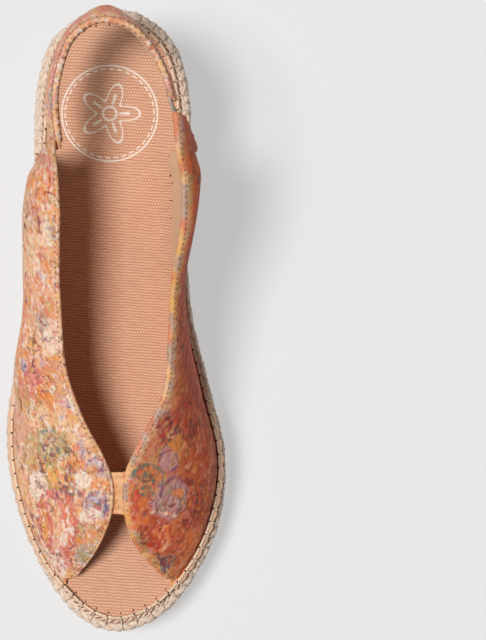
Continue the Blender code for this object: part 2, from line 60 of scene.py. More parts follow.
# ---- dimensions shared with the CAD part --------------------------------------------------------
PLATFORM = 20.0
BALL = -55.0
OUTSOLE = 2.9
GAP = 0.3
SEWN_GAP = 0.4
CANVAS = 1.0
CANVAS_STEP = 0.9                        # from the sewing cord out to the edge of the canvas
FABRIC = 1.1
WALL_STEP = 1.2                          # from the sewing cord in to the line where the upper turns out
LIP_STEP = 1.5                           # and from the cord out to the edge of the upper's lip
THREAD = 1.0
BRAID_PITCH = 7.9
GROUND_BRAID_PITCH = 8.3
THINNEST_BRAID = 1.4
UNDERCUT = 0.045
LAST_SEWN = 12                           # behind this station a panel has left the sole

FOOTBED_LINE = np.array([
    (-126, 23.8), (-112, 21.6), (-95, 20.3), (-75, PLATFORM), (-52, 20.3), (-30, 23.2), (-8, 29.2),
    (14, 37.8), (35, 47.4), (55, 54.0), (78, 57.8), (100, 60.0), (122, 62.0),
])
SOLE_PLAN = [
    (2, -124), (-16, -118), (-31, -98), (-41.4, -70), (-44.2, -42), (-38.4, -8), (-33, 28), (-31, 60),
    (-30, 86), (-25, 106), (-13, 117), (0, 119.8), (12, 117), (23.5, 106), (28.8, 86), (28.8, 60),
    (27.6, 32), (29.4, 2), (36.5, -28), (42.5, -56), (38.5, -86), (22, -113.5),
]
CORD_INSETS = {
    LATERAL: [(-124, 5.5), (-112, 4.6), (-100, 2.7), (-90, 2.0), (20, 2.0), (60, 3.2), (75, 4.2), (122, 4.2)],
    MEDIAL: [(-124, 5.5), (-112, 4.6), (-98, 3.7), (-80, 3.2), (-62, 2.0), (20, 2.0), (60, 3.2), (75, 4.2),
             (122, 4.2)],
}
LATERAL_STATIONS = [
    (-105.0, -19.8, -105.6, 3.2, 0.3, 0.30),
    (-98.0, -14.8, -100.6, 7.5, 1.0, 0.20),
    (-90.0, -8.8, -93.0, 16.0, 2.0, 0.12),
    (-81.0, -3.8, -83.5, 24.5, 2.5, 0.08),
    (-72.0, -0.9, -74.0, 29.5, 3.0, 0.06),
    (-63.0, -0.6, -64.0, 32.6, 3.0, 0.06),
    (-52.0, -4.0, -53.5, 35.6, 3.0, 0.08),
    (-37.0, -12.0, -38.0, 39.6, 3.5, 0.12),
    (-19.0, -18.0, -19.5, 43.6, 10.8, 0.20),
    (1.0, -19.6, 1.0, 46.4, 9.0, 0.25),
    (22.0, -19.8, 21.5, 48.0, 12.0, 0.26),
    (41.0, -19.0, 39.0, 48.5, 14.6, 0.26),
    (55.0, -19.4, 50.0, 49.0, 12.0, 0.26),
]
MEDIAL_STATIONS = [
    (-106.0, 20.6, -105.4, 3.2, 0.0, 0.30),
    (-99.0, 17.8, -102.2, 7.0, 1.0, 0.20),
    (-91.5, 12.2, -96.2, 13.5, 2.0, 0.12),
    (-83.0, 7.2, -88.5, 20.5, 2.5, 0.08),
    (-74.0, 4.2, -79.5, 26.5, 3.0, 0.06),
    (-65.0, 3.2, -69.0, 31.0, 3.0, 0.06),
    (-55.0, 4.6, -59.0, 34.0, 3.0, 0.08),
    (-42.0, 11.0, -46.5, 37.6, 2.5, 0.12),
    (-25.0, 20.4, -28.5, 41.6, 2.5, 0.16),
    (-5.0, 23.0, -7.0, 44.8, 4.3, 0.18),
    (16.0, 24.6, 14.0, 46.8, 5.6, 0.20),
    (37.0, 28.0, 35.0, 47.6, 10.6, 0.20),
    (54.0, 28.0, 52.0, 48.0, 13.6, 0.20),
]
LATERAL_REAR = [
    (-25.4, 61.0, 56.9, -19.8, 54.5, 103.5, 8.5),
    (-29.4, 61.0, 70.0, -20.3, 58.8, 104.6, 0.9),
    (-27.4, 62.4, 83.0, -20.7, 62.6, 105.3, 0.5),
    (-23.3, 66.8, 93.9, -20.9, 66.8, 105.8, 0.2),
]
MEDIAL_REAR = [
    (22.6, 62.6, 57.2, 27.2, 58.5, 103.9, 13.5),
    (31.6, 64.2, 70.0, 26.7, 64.3, 105.1, 3.2),
    (32.0, 67.6, 83.0, 26.2, 70.4, 106.1, 1.2),
    (28.6, 76.0, 94.9, 25.6, 77.4, 106.8, 0.2),
]
STATIONS = {LATERAL: LATERAL_STATIONS, MEDIAL: MEDIAL_STATIONS}
REAR = {LATERAL: LATERAL_REAR, MEDIAL: MEDIAL_REAR}
STRAP_TOP = [
    (-18.7, 63.4, 105.2), (-19.7, 69, 106.0), (-20.7, 79, 107.4), (-19.9, 89, 108.4), (-15.8, 102.5, 109.4),
    (-8.4, 110, 110.0), (0.3, 111.9, 110.2), (9.8, 109, 110.0), (17.2, 101, 109.5), (22.2, 91, 108.6),
    (25.0, 81.8, 107.6),
]
STRAP_BOTTOM = [
    (-21.0, 63.4, 93.6), (-22.2, 69, 94.3), (-23.2, 79, 95.2), (-22.3, 90, 96.2), (-17.0, 105.2, 97.2),
    (-8.6, 113.8, 97.5), (-1.0, 116.6, 97.5), (6.0, 113.6, 97.5), (15.0, 104.4, 97.1), (21.6, 92.4, 96.3),
    (24.9, 81.8, 95.5),
]
STRAP_TAPER = 5.0
NOSE = 0.4

# ---- what only the looks need -------------------------------------------------------------------
CLOTH_STEP = 0.45                        # spacing of the points that carry the fabric's printed colours
HEM_RADIUS = {LATERAL: 0.85, MEDIAL: 1.25}   # of the rolled free edge
FACING = 0.86                            # the cloth turned in at the free edge reaches down to this v
WARP_PITCH, WEFT_PITCH = 1.05, 1.16      # of the insole canvas
STAMP_CENTRE = (-1.6, 79.9)
STAMP_RADIUS = 18.5
NOISE_LAYERS = 3
BAND_EDGE_POINTS = 5                     # round each edge of a flat strip
CAMERA_PLACE = (0.0506, 0.0021, 1.2)     # metres in the frame, straight above
FLOOR_HALF, FLOOR_Z = 3.0, -0.0003
FLOOR_GLOW = 0.46                        # the table is faintly lit, which keeps the shadow pale
WORLD_LIGHT, SUN_ENERGY, SUN_WIDTH = 0.14, 2.9, 18   # the width is in degrees
TOWARDS_SUN = (-0.32, 0.02, 1.0)


# ---- curves -------------------------------------------------------------------------------------
def smooth(points, t):
    """Catmull-Rom curve through the points, at the array t counted in points from 0."""
    points = np.asarray(points, float)
    last = len(points) - 1
    t = np.atleast_1d(t)
    i = np.clip(np.floor(t).astype(int), 0, last - 1)
    f = (t - i)[:, None]
    padded = np.vstack([2 * points[0] - points[1], points, 2 * points[-1] - points[-2]])
    before, a, b, after = padded[i], padded[i + 1], padded[i + 2], padded[i + 3]
    return 0.5 * (2 * a + (b - before) * f + (2 * before - 5 * a + 4 * b - after) * f * f
                  + (3 * a - before - 3 * b + after) * f ** 3)


def lengths_along(path):
    """Distance of each point of a path from its start."""
    return np.concatenate([[0], np.cumsum(np.linalg.norm(np.diff(path, axis=0), axis=1))])


def spaced(path, count):
    """count points evenly along a path, both ends included."""
    along = lengths_along(path)
    wanted = np.linspace(0, along[-1], count)
    return np.stack([np.interp(wanted, along, path[:, k]) for k in range(path.shape[1])], axis=1)


FOOTBED_SLOPES = np.gradient(FOOTBED_LINE[:, 1], FOOTBED_LINE[:, 0])


def footbed(y):
    """Height of the footbed above the ground."""
    y = np.asarray(y, float)
    i = np.clip(np.searchsorted(FOOTBED_LINE[:, 0], y) - 1, 0, len(FOOTBED_LINE) - 2)
    span = FOOTBED_LINE[i + 1, 0] - FOOTBED_LINE[i, 0]
    s = (y - FOOTBED_LINE[i, 0]) / span
    return ((2 * s ** 3 - 3 * s ** 2 + 1) * FOOTBED_LINE[i, 1] + (s ** 3 - 2 * s ** 2 + s) * span * FOOTBED_SLOPES[i]
            + (3 * s ** 2 - 2 * s ** 3) * FOOTBED_LINE[i + 1, 1] + (s ** 3 - s ** 2) * span * FOOTBED_SLOPES[i + 1])


def smoothstep(low, high, x):
    s = np.clip((np.asarray(x, float) - low) / (high - low), 0, 1)
    return s * s * (3 - 2 * s)


def unit(vectors):
    return vectors / (np.linalg.norm(vectors, axis=-1, keepdims=True) + 1e-12)


def sole_loop(count):
    """The sole's plan as count points evenly round it, toe tip first, then the lateral side, with outward normals."""
    ring = [SOLE_PLAN[-1], *SOLE_PLAN, SOLE_PLAN[0], SOLE_PLAN[1]]
    dense = smooth(ring, 1 + np.arange(len(SOLE_PLAN) * 40 + 1) / 40)
    points = spaced(dense, count + 1)[:-1]
    along = np.roll(points, -1, axis=0) - np.roll(points, 1, axis=0)
    outward = unit(np.stack([-along[:, 1], along[:, 0]], axis=1))
    return points, outward if (outward * points).sum() > 0 else -outward


PLAN, OUTWARD = sole_loop(1280)
HEEL = int(PLAN[:, 1].argmax())
PLAN_SIDE = np.where(np.arange(len(PLAN)) <= HEEL, LATERAL, MEDIAL)
CORD = np.where(PLAN_SIDE == LATERAL, np.interp(PLAN[:, 1], *zip(*CORD_INSETS[LATERAL])),
                np.interp(PLAN[:, 1], *zip(*CORD_INSETS[MEDIAL])))


def edge_at(side, y, inset):
    """x of the inset plan at each y on that side, and the outward normals there."""
    part = np.arange(HEEL + 1) if side == LATERAL else np.r_[HEEL:len(PLAN), 0]
    loop = PLAN - OUTWARD * np.broadcast_to(inset, len(PLAN))[:, None]
    order = part[np.argsort(loop[part, 1])]
    x = np.interp(y, loop[order, 1], loop[order, 0])
    normals = np.stack([np.interp(y, loop[order, 1], OUTWARD[order, k]) for k in (0, 1)], axis=-1)
    return x, unit(np.concatenate([normals, np.zeros_like(normals[..., :1])], axis=-1))


# ---- noise --------------------------------------------------------------------------------------
def value_noise(points, size, seed=0.0):
    """Smooth noise from 0 to 1 in space, with cells of the given size (one number, or one per axis)."""
    q = np.asarray(points, float) / np.asarray(size, float) + seed * 7.31
    cell = np.floor(q)
    f = q - cell
    f = f * f * (3 - 2 * f)
    total = np.zeros(q.shape[:-1])
    for corner in range(8):
        offset = np.array([corner & 1, corner >> 1 & 1, corner >> 2 & 1])
        weight = np.prod(np.where(offset == 1, f, 1 - f), axis=-1)
        mixed = np.sin((cell + offset) @ np.array([127.1, 311.7, 74.7]) + seed * 3.7) * 43758.5453
        total += weight * (mixed - np.floor(mixed))
    return total


def layered_noise(points, size, seed=0.0):
    total, share, size = 0.0, 0.5, np.asarray(size, float)
    for k in range(NOISE_LAYERS):
        total = total + share * value_noise(points, size / 2 ** k, seed + k)
        share /= 2
    return total / (1 - 0.5 ** NOISE_LAYERS)


# ---- meshes -------------------------------------------------------------------------------------
def placed(points):
    return (np.asarray(points, float) + SHIFT) * MM


def add_mesh(name, points, faces, look, uv=None, colours=None):
    """One smooth object from points in design millimetres. uv is in millimetres of cloth, and colours are linear."""
    mesh = bpy.data.meshes.new(name)
    mesh.vertices.add(len(points))
    mesh.vertices.foreach_set("co", placed(points).astype(np.float32).ravel())
    faces = [np.asarray(part) for part in faces]
    corners = np.concatenate([part.ravel() for part in faces])
    sizes = np.concatenate([np.full(len(part), part.shape[1]) for part in faces])
    mesh.loops.add(len(corners))
    mesh.loops.foreach_set("vertex_index", corners.astype(np.int32))
    mesh.polygons.add(len(sizes))
    mesh.polygons.foreach_set("loop_start", np.concatenate([[0], np.cumsum(sizes)[:-1]]).astype(np.int32))
    mesh.polygons.foreach_set("loop_total", sizes.astype(np.int32))
    mesh.update(calc_edges=True)
    if uv is not None:
        layer = mesh.uv_layers.new(name="UVMap")
        layer.data.foreach_set("uv", np.asarray(uv, np.float32)[corners].ravel())
    if colours is not None:
        layer = mesh.color_attributes.new("print", "FLOAT_COLOR", "POINT")
        layer.data.foreach_set("color", np.column_stack([colours, np.ones(len(colours))]).astype(np.float32).ravel())
    mesh.validate()
    mesh.shade_smooth()
    mesh.materials.append(look)
    made = bpy.data.objects.new(name, mesh)
    bpy.context.scene.collection.objects.link(made)
    return made


def grid_faces(rows, columns, wrap_rows=False, wrap_columns=False, first=0):
    """Quads of a grid of points stored row by row."""
    i = np.arange(rows if wrap_rows else rows - 1)[:, None]
    k = np.arange(columns if wrap_columns else columns - 1)[None, :]
    i2, k2 = (i + 1) % rows, (k + 1) % columns
    quads = np.stack([i * columns + k, i2 * columns + k, i2 * columns + k2, i * columns + k2], axis=-1)
    return quads.reshape(-1, 4) + first


def facing_out(points, faces):
    """The faces, turned so that a closed shape's normals point out."""
    a, b, c = (points[faces[0][:, k]] for k in (0, 1, 2))
    return faces if np.einsum("ij,ij->", a, np.cross(b, c)) >= 0 else [part[:, ::-1] for part in faces]


def grid_normals(grid):
    """Unit normals of a grid of points."""
    return unit(np.cross(np.gradient(grid, axis=0), np.gradient(grid, axis=1)))


def tube(path, radius, sides, closed=False, normal=None, wide=1.0, lobes=0, twist=0.0):
    """Points and faces of a tube along a path. normal sets the direction of its section's first axis, and wide
    stretches the section across it; lobes ribs, turning by twist radians per point, make it look laid."""
    count = len(path)
    if closed:
        along = unit(np.roll(path, -1, axis=0) - np.roll(path, 1, axis=0))
    else:
        along = unit(np.gradient(path, axis=0))
    if normal is None:
        normal = np.tile((0.0, 0.0, 1.0), (count, 1))
    across = unit(np.cross(along, normal))
    normal = unit(np.cross(across, along))
    angle = np.arange(sides) * 2 * math.pi / sides
    ribs = 1.0
    if lobes:
        ribs = 1 + 0.16 * np.cos(lobes * angle[None, :] + twist * np.arange(count)[:, None])
    radius = np.broadcast_to(radius, count)[:, None] * ribs
    points = (path[:, None, :] + (radius * np.cos(angle))[..., None] * normal[:, None, :]
              + (radius * wide * np.sin(angle))[..., None] * across[:, None, :])
    faces = [grid_faces(count, sides, wrap_rows=closed, wrap_columns=True)]
    if not closed:
        faces.append(np.arange(sides)[None, :])
        faces.append(((count - 1) * sides + np.arange(sides))[None, ::-1])
    return points.reshape(-1, 3), faces


def joined(parts):
    """Points and faces of several shapes as one."""
    points, faces, first = [], [], 0
    for shape, polygons in parts:
        points.append(shape)
        faces += [part + first for part in polygons]
        first += len(shape)
    by_size = {}
    for part in faces:
        by_size.setdefault(part.shape[1], []).append(part)
    return np.vstack(points), [np.vstack(group) for group in by_size.values()]


def band(name, grid, normals, thickness, look, colours=None):
    """A flat strip with round edges. grid's rows run along it and its columns across it, on its outer face."""
    rows, columns = grid.shape[:2]
    half = np.broadcast_to(thickness, (rows, 1, 1)) / 2
    middle = grid - normals * half
    turns = np.linspace(0, math.pi, BAND_EDGE_POINTS + 2)[1:-1]
    out_high = unit(middle[:, -1] - middle[:, -2])
    out_low = unit(middle[:, 0] - middle[:, 1])

    def rounding(centre, out, normal, order):
        return np.stack([centre + half[:, 0] * (normal * math.cos(a) + out * math.sin(a)) for a in order], axis=1)

    ring = np.concatenate([middle + normals * half, rounding(middle[:, -1], out_high, normals[:, -1], turns),
                           (middle - normals * half)[:, ::-1],
                           rounding(middle[:, 0], out_low, normals[:, 0], turns[::-1])], axis=1)
    size = ring.shape[1]
    points = ring.reshape(-1, 3)
    faces = [grid_faces(rows, size, wrap_columns=True)]
    faces += [np.arange(size)[None, ::-1], ((rows - 1) * size + np.arange(size))[None, :]]
    along = lengths_along(grid[:, columns // 2])
    round_ring = lengths_along(ring[rows // 2])
    uv = np.stack(np.broadcast_arrays(along[:, None], round_ring[None, :]), axis=-1).reshape(-1, 2)
    paint = None if colours is None else colours(ring).reshape(-1, 3)
    return add_mesh(name, points, facing_out(points - points.mean(0), faces), look, uv, paint)


# ---- material nodes -----------------------------------------------------------------------------
def colour(red, green, blue):
    """Linear colour from the 0 to 255 numbers that a screen shows."""
    share = np.array([red, green, blue], float) / 255
    return np.where(share <= 0.04045, share / 12.92, ((share + 0.055) / 1.055) ** 2.4)


class Nodes:
    """A material under construction: each method adds a node and returns its output."""

    def __init__(self, name, roughness=0.8, specular=0.3, sheen=0.0):
        self.material = bpy.data.materials.new(name)
        self.material.use_nodes = True
        self.tree = self.material.node_tree
        self.shader = self.tree.nodes["Principled BSDF"]
        self.shader.inputs["Roughness"].default_value = roughness
        self.shader.inputs["Specular IOR Level"].default_value = specular
        self.shader.inputs["Sheen Weight"].default_value = sheen

    def put(self, socket, value):
        if isinstance(value, bpy.types.NodeSocket):
            self.tree.links.new(value, socket)
        elif isinstance(value, (int, float)):
            socket.default_value = value
        else:
            value = [float(x) for x in value]
            socket.default_value = value + [1.0] * (len(socket.default_value) - len(value))

    def node(self, kind, output=0, inputs=None, **settings):
        made = self.tree.nodes.new(kind)
        for key, value in settings.items():
            setattr(made, key, value)
        for key, value in (inputs or {}).items():
            self.put(made.inputs[key], value)
        return made.outputs[output]

    def math(self, operation, *values):
        return self.node("ShaderNodeMath", 0, dict(enumerate(values)), operation=operation)

    def mix(self, share, a, b):
        return self.node("ShaderNodeMix", 2, {0: share, 6: a, 7: b}, data_type="RGBA", blend_type="MIX")

    def ramp(self, share, low, high):
        """0 below low and 1 above high."""
        return self.node("ShaderNodeMapRange", 0, {0: share, 1: low, 2: high, 3: 0.0, 4: 1.0},
                         interpolation_type="SMOOTHSTEP")

    def position(self):
        """Place in the frame, in millimetres."""
        place = self.node("ShaderNodeTexCoord", 3)
        return self.node("ShaderNodeVectorMath", 0, {0: place, 1: (1000, 1000, 1000)}, operation="MULTIPLY")

    def uv(self):
        return self.node("ShaderNodeUVMap", 0, uv_map="UVMap")

    def scaled(self, vector, x, y, z=1.0):
        return self.node("ShaderNodeVectorMath", 0, {0: vector, 1: (x, y, z)}, operation="MULTIPLY")

    def noise(self, vector, scale, detail=2.0, roughness=0.5, distortion=0.0):
        return self.node("ShaderNodeTexNoise", 0, {"Vector": vector, "Scale": scale, "Detail": detail,
                                                   "Roughness": roughness, "Distortion": distortion})

    def cells(self, vector, scale):
        return self.node("ShaderNodeTexVoronoi", 0, {"Vector": vector, "Scale": scale}, feature="F1")

    def split(self, vector):
        made = self.tree.nodes.new("ShaderNodeSeparateXYZ")
        self.put(made.inputs[0], vector)
        return made.outputs[0], made.outputs[1], made.outputs[2]

    def bump(self, height, distance, strength=1.0):
        """height from 0 to 1 stands for distance in millimetres."""
        normal = self.node("ShaderNodeBump", 0, {"Height": height, "Distance": distance * MM, "Strength": strength})
        self.put(self.shader.inputs["Normal"], normal)

    def base(self, value):
        self.put(self.shader.inputs["Base Color"], value)

    def rough(self, value):
        self.put(self.shader.inputs["Roughness"], value)


def weave(look, vector, pitch_x, pitch_y):
    """Plain weave on cloth millimetres: 1 on the yarns that run along x where they lie on top, 0 on the others."""
    x, y, _ = look.split(vector)
    across = look.math("COSINE", look.math("MULTIPLY", x, 2 * math.pi / pitch_x))
    down = look.math("COSINE", look.math("MULTIPLY", y, math.pi / pitch_y))
    return look.math("MULTIPLY_ADD", look.math("MULTIPLY", across, down), 0.5, 0.5)


def print_material():
    """Printed satin cotton: the flowers are in the mesh's colours, and the nodes add the broken brocade weave, whose
    pale spots are partly a painted highlight of the satin.
    """
    look = Nodes("printed_cotton", roughness=0.7, specular=0.1)
    base = look.node("ShaderNodeVertexColor", 0, layer_name="print")
    uv = look.uv()
    slub = look.noise(look.scaled(uv, 0.55, 1.5), 1.0, 3.0, 0.6, 0.9)
    weave_and_glint_flecks = look.noise(look.scaled(uv, 1.1, 2.1), 1.0, 2.0, 0.6, 0.4)
    grain = weave(look, uv, 0.62, 0.36)
    light = look.ramp(weave_and_glint_flecks, 0.56, 0.70)
    dark = look.ramp(slub, 0.44, 0.33)
    # pale spots: partly weave, partly a painted highlight standing in for the satin's glints
    shown = look.mix(look.math("MULTIPLY", light, 0.15), base, colour(255, 232, 208))
    shown = look.mix(look.math("MULTIPLY", dark, 0.45), shown, colour(120, 50, 34))
    shown = look.mix(look.math("MULTIPLY", grain, 0.07), shown, colour(250, 204, 160))
    look.base(shown)
    height = look.math("MULTIPLY_ADD", slub, 1.2, look.math("MULTIPLY", grain, 0.30))
    look.bump(look.math("MULTIPLY_ADD", light, 0.3, height), 0.30, 0.8)
    look.rough(look.math("MULTIPLY_ADD", slub, 0.30, 0.42))
    return look.material


def canvas_material():
    """Coarse two-tone plain weave with a printed roundel: a ring, a dashed ring and a five-petal flower."""
    look = Nodes("insole_canvas_weave", roughness=0.85, specular=0.2, sheen=0.1)
    uv = look.uv()
    tilt = math.radians(4)
    turned = look.node("ShaderNodeVectorRotate", 0, {"Vector": uv, "Angle": tilt}, rotation_type="Z_AXIS")
    wander = look.noise(look.scaled(turned, 0.25, 0.25), 1.0, 2.0)
    turned = look.node("ShaderNodeVectorMath", 0,
                       {0: turned, 1: look.node("ShaderNodeCombineXYZ", 0, {0: wander, 1: wander})}, operation="ADD")
    yarn = weave(look, turned, WARP_PITCH, WEFT_PITCH)
    wave = look.math("COSINE", look.math("MULTIPLY", look.split(turned)[1], math.pi / WEFT_PITCH))
    row = look.math("ABSOLUTE", wave)
    yarn = look.math("ADD", look.math("MULTIPLY", yarn, 0.5), look.math("MULTIPLY", row, 0.5))
    slub = look.noise(look.scaled(turned, 0.18, 1.3), 1.0, 3.0, 0.6)
    patch = look.noise(look.scaled(uv, 0.05, 0.05), 1.0, 2.0)
    dark = look.mix(slub, colour(166, 100, 76), colour(204, 138, 108))
    light = look.mix(patch, colour(240, 188, 154), colour(250, 206, 174))
    shown = look.mix(look.ramp(look.math("MULTIPLY_ADD", slub, 0.35, yarn), 0.15, 1.25), dark, light)
    x, y, _ = look.split(uv)
    x = look.math("SUBTRACT", x, STAMP_CENTRE[0])
    y = look.math("SUBTRACT", y, float(canvas_length(STAMP_CENTRE[1])))
    radius = look.math("SQRT", look.math("ADD", look.math("MULTIPLY", x, x), look.math("MULTIPLY", y, y)))
    angle = look.math("ARCTAN2", y, x)

    def line(distance, half):
        return look.ramp(look.math("ABSOLUTE", distance), half + 0.12, half - 0.12)

    outer = line(look.math("SUBTRACT", radius, STAMP_RADIUS), 0.34)
    dashes = look.ramp(look.math("SINE", look.math("MULTIPLY", angle, 34.0)), -0.5, -0.2)
    inner = look.math("MULTIPLY", line(look.math("SUBTRACT", radius, STAMP_RADIUS - 1.3), 0.28), dashes)
    petals = look.math("MULTIPLY_ADD", look.math("COSINE", look.math("MULTIPLY", angle, 5.0)), 3.3, 8.4)
    flower = line(look.math("SUBTRACT", radius, petals), 0.5)
    veins = line(look.math("SINE", look.math("MULTIPLY", angle, 2.5)), 0.22)
    veins = look.math("MULTIPLY", veins,
                      look.math("MULTIPLY", look.ramp(radius, 3.4, 3.8), look.ramp(radius, 8.0, 7.4)))
    heart = line(look.math("SUBTRACT", radius, 2.6), 0.42)
    ink = look.math("MAXIMUM", look.math("MAXIMUM", outer, inner), look.math("MAXIMUM", flower, heart))
    ink = look.math("MULTIPLY", look.math("MAXIMUM", ink, veins), look.ramp(yarn, 0.02, 0.42))
    look.base(look.mix(look.math("MULTIPLY", ink, 0.86), shown, colour(255, 240, 226)))
    look.bump(look.math("MULTIPLY_ADD", slub, 0.3, yarn), 0.35, 0.9)
    return look.material


def jute_material(name, light, dark):
    """Hairy plied yarn: fine fibres that run round each strand, with paler and darker stretches."""
    look = Nodes(name, roughness=0.95, specular=0.1, sheen=0.25)
    place = look.position()
    fibres = look.noise(look.scaled(place, 1.6, 1.6, 3.2), 1.0, 4.0, 0.7, 1.2)
    stretch = look.noise(place, 0.35, 2.0)
    shown = look.mix(look.ramp(fibres, 0.34, 0.62), dark, light)
    look.base(look.mix(look.math("MULTIPLY", look.ramp(stretch, 0.5, 0.75), 0.4), shown, colour(234, 190, 164)))
    look.bump(fibres, 0.5, 1.0)
    return look.material


def cord_material():
    look = Nodes("waxed_cord", roughness=0.7, specular=0.3)
    place = look.position()
    fibres = look.noise(place, 3.0, 3.0, 0.6)
    look.base(look.mix(look.ramp(fibres, 0.3, 0.6), colour(206, 166, 130), colour(252, 232, 206)))
    look.bump(fibres, 0.15, 0.7)
    return look.material


def stitch_material():
    look = Nodes("dark_red_thread", roughness=0.7, specular=0.3)
    fibres = look.noise(look.position(), 4.0, 2.0)
    look.base(look.mix(fibres, colour(96, 34, 34), colour(150, 66, 52)))
    look.bump(fibres, 0.1, 0.5)
    return look.material


def woven_material(name, light, dark, pitch_x, pitch_y):
    """Plain woven cloth in two close tones."""
    look = Nodes(name, roughness=0.85, specular=0.2, sheen=0.1)
    uv = look.uv()
    yarn = weave(look, uv, pitch_x, pitch_y)
    uneven = look.noise(look.scaled(uv, 0.3, 0.5), 1.0, 3.0)
    shown = look.mix(look.math("MULTIPLY_ADD", uneven, 0.5, look.math("MULTIPLY", yarn, 0.5)), dark, light)
    look.base(shown)
    look.bump(yarn, 0.18, 0.8)
    return look.material


def elastic_material():
    """Ribs along the elastic, crossed by the fine weft that shirrs it."""
    look = Nodes("ribbed_elastic", roughness=0.75, specular=0.25)
    uv = look.uv()
    x, y, _ = look.split(uv)
    ribs = look.math("MULTIPLY_ADD", look.math("SINE", look.math("MULTIPLY", y, 2 * math.pi / 0.9)), 0.5, 0.5)
    weft = look.math("MULTIPLY_ADD", look.math("SINE", look.math("MULTIPLY", x, 2 * math.pi / 0.55)), 0.5, 0.5)
    height = look.math("MULTIPLY_ADD", weft, 0.4, look.math("MULTIPLY", ribs, 0.6))
    look.base(look.mix(height, colour(150, 136, 116), colour(214, 202, 180)))
    look.bump(height, 0.25, 0.9)
    return look.material


def solid_material(name, light, dark, scale, depth, rough=0.85, pores=False):
    """Hidden or plain solids: foam, board and rubber, with grain or pores through the whole piece."""
    look = Nodes(name, roughness=rough, specular=0.25)
    place = look.position()
    grain = look.noise(place, scale, 4.0, 0.65)
    if pores:
        holes = look.cells(place, scale * 1.5)
        grain = look.math("MULTIPLY", grain, look.ramp(holes, 0.05, 0.35))
    look.base(look.mix(look.ramp(grain, 0.25, 0.65), dark, light))
    look.bump(grain, depth, 0.8)
    return look.material


# ---- sole ---------------------------------------------------------------------------------------
def canvas_length(y):
    """Distance along the footbed from the toe to y, which is the canvas's own y."""
    line = np.linspace(-130, 125, 1021)
    return np.interp(y, line, lengths_along(np.stack([line, footbed(line)], axis=1)))


def insole_canvas():
    """The canvas that covers the footbed: a skin of rows across it, with a turned-down edge."""
    rim = PLAN - OUTWARD * (CORD - CANVAS_STEP)[:, None]
    lateral, medial = rim[:HEEL + 1], np.vstack([rim[HEEL:], rim[:1]])[::-1]
    rows = 440
    ends = 0.5 - 0.5 * np.cos(np.linspace(0, math.pi, rows))
    ys = lateral[0, 1] + (lateral[-1, 1] - lateral[0, 1]) * (0.35 * ends + 0.65 * np.linspace(0, 1, rows))
    left = np.interp(ys, lateral[:, 1], lateral[:, 0])
    right = np.interp(ys, medial[:, 1], medial[:, 0])
    across = np.linspace(0, 1, 150)
    x = left[:, None] + (right - left)[:, None] * across[None, :]
    y = np.broadcast_to(ys[:, None], x.shape)
    top = np.stack([x, y, footbed(y) - 0.02], axis=-1)
    wave = layered_noise(top, (26, 26, 26), 3.0)
    top[..., 2] += 0.35 * (wave - 0.5) * smoothstep(0, 0.12, across) * smoothstep(1, 0.88, across)
    under = top - (0, 0, CANVAS)
    rows_count, columns = x.shape
    points = np.vstack([top.reshape(-1, 3), under[:, [0, -1]].reshape(-1, 3)])
    first = rows_count * columns
    i = np.arange(rows_count - 1)
    low = first + 2 * i
    left_rim = np.stack([i * columns, (i + 1) * columns, low + 2, low], axis=1)
    right_rim = np.stack([i * columns + columns - 1, low + 1, low + 3, (i + 1) * columns + columns - 1], axis=1)
    faces = [np.vstack([grid_faces(rows_count, columns), left_rim, right_rim])]
    cloth = np.stack([x, canvas_length(y)], axis=-1).reshape(-1, 2)
    cloth = np.vstack([cloth, cloth.reshape(rows_count, columns, 2)[:, [0, -1]].reshape(-1, 2)])
    made = add_mesh("insole_canvas", points, faces, LOOKS["canvas"], cloth)
    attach(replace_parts(made, "insole_cover"), "shoe")


def braid_band(number, y):
    """Lower and upper height of braid 1 to 7, counted from the top; the lowest five lie parallel to the ground."""
    if number <= 2:
        top = footbed(y) - CANVAS - GAP - (number - 1) * BRAID_PITCH
        return top - BRAID_PITCH + GAP, top
    bottom = OUTSOLE + GAP + (7 - number) * GROUND_BRAID_PITCH + 0 * y
    ceiling = footbed(y) - CANVAS - GAP - 2 * BRAID_PITCH
    return bottom, np.minimum(bottom + GROUND_BRAID_PITCH - GAP, ceiling)


def braid_route(number):
    """Points of the plan under a braid, their outward normals, and its two heights there; closed or not."""
    order = np.arange(len(PLAN))
    low, high = braid_band(number, PLAN[:, 1])
    if number <= 2:
        return order, low, high, True
    kept = (high - low >= THINNEST_BRAID) & (PLAN[:, 1] > BALL)
    return order[kept], low[kept], high[kept], False


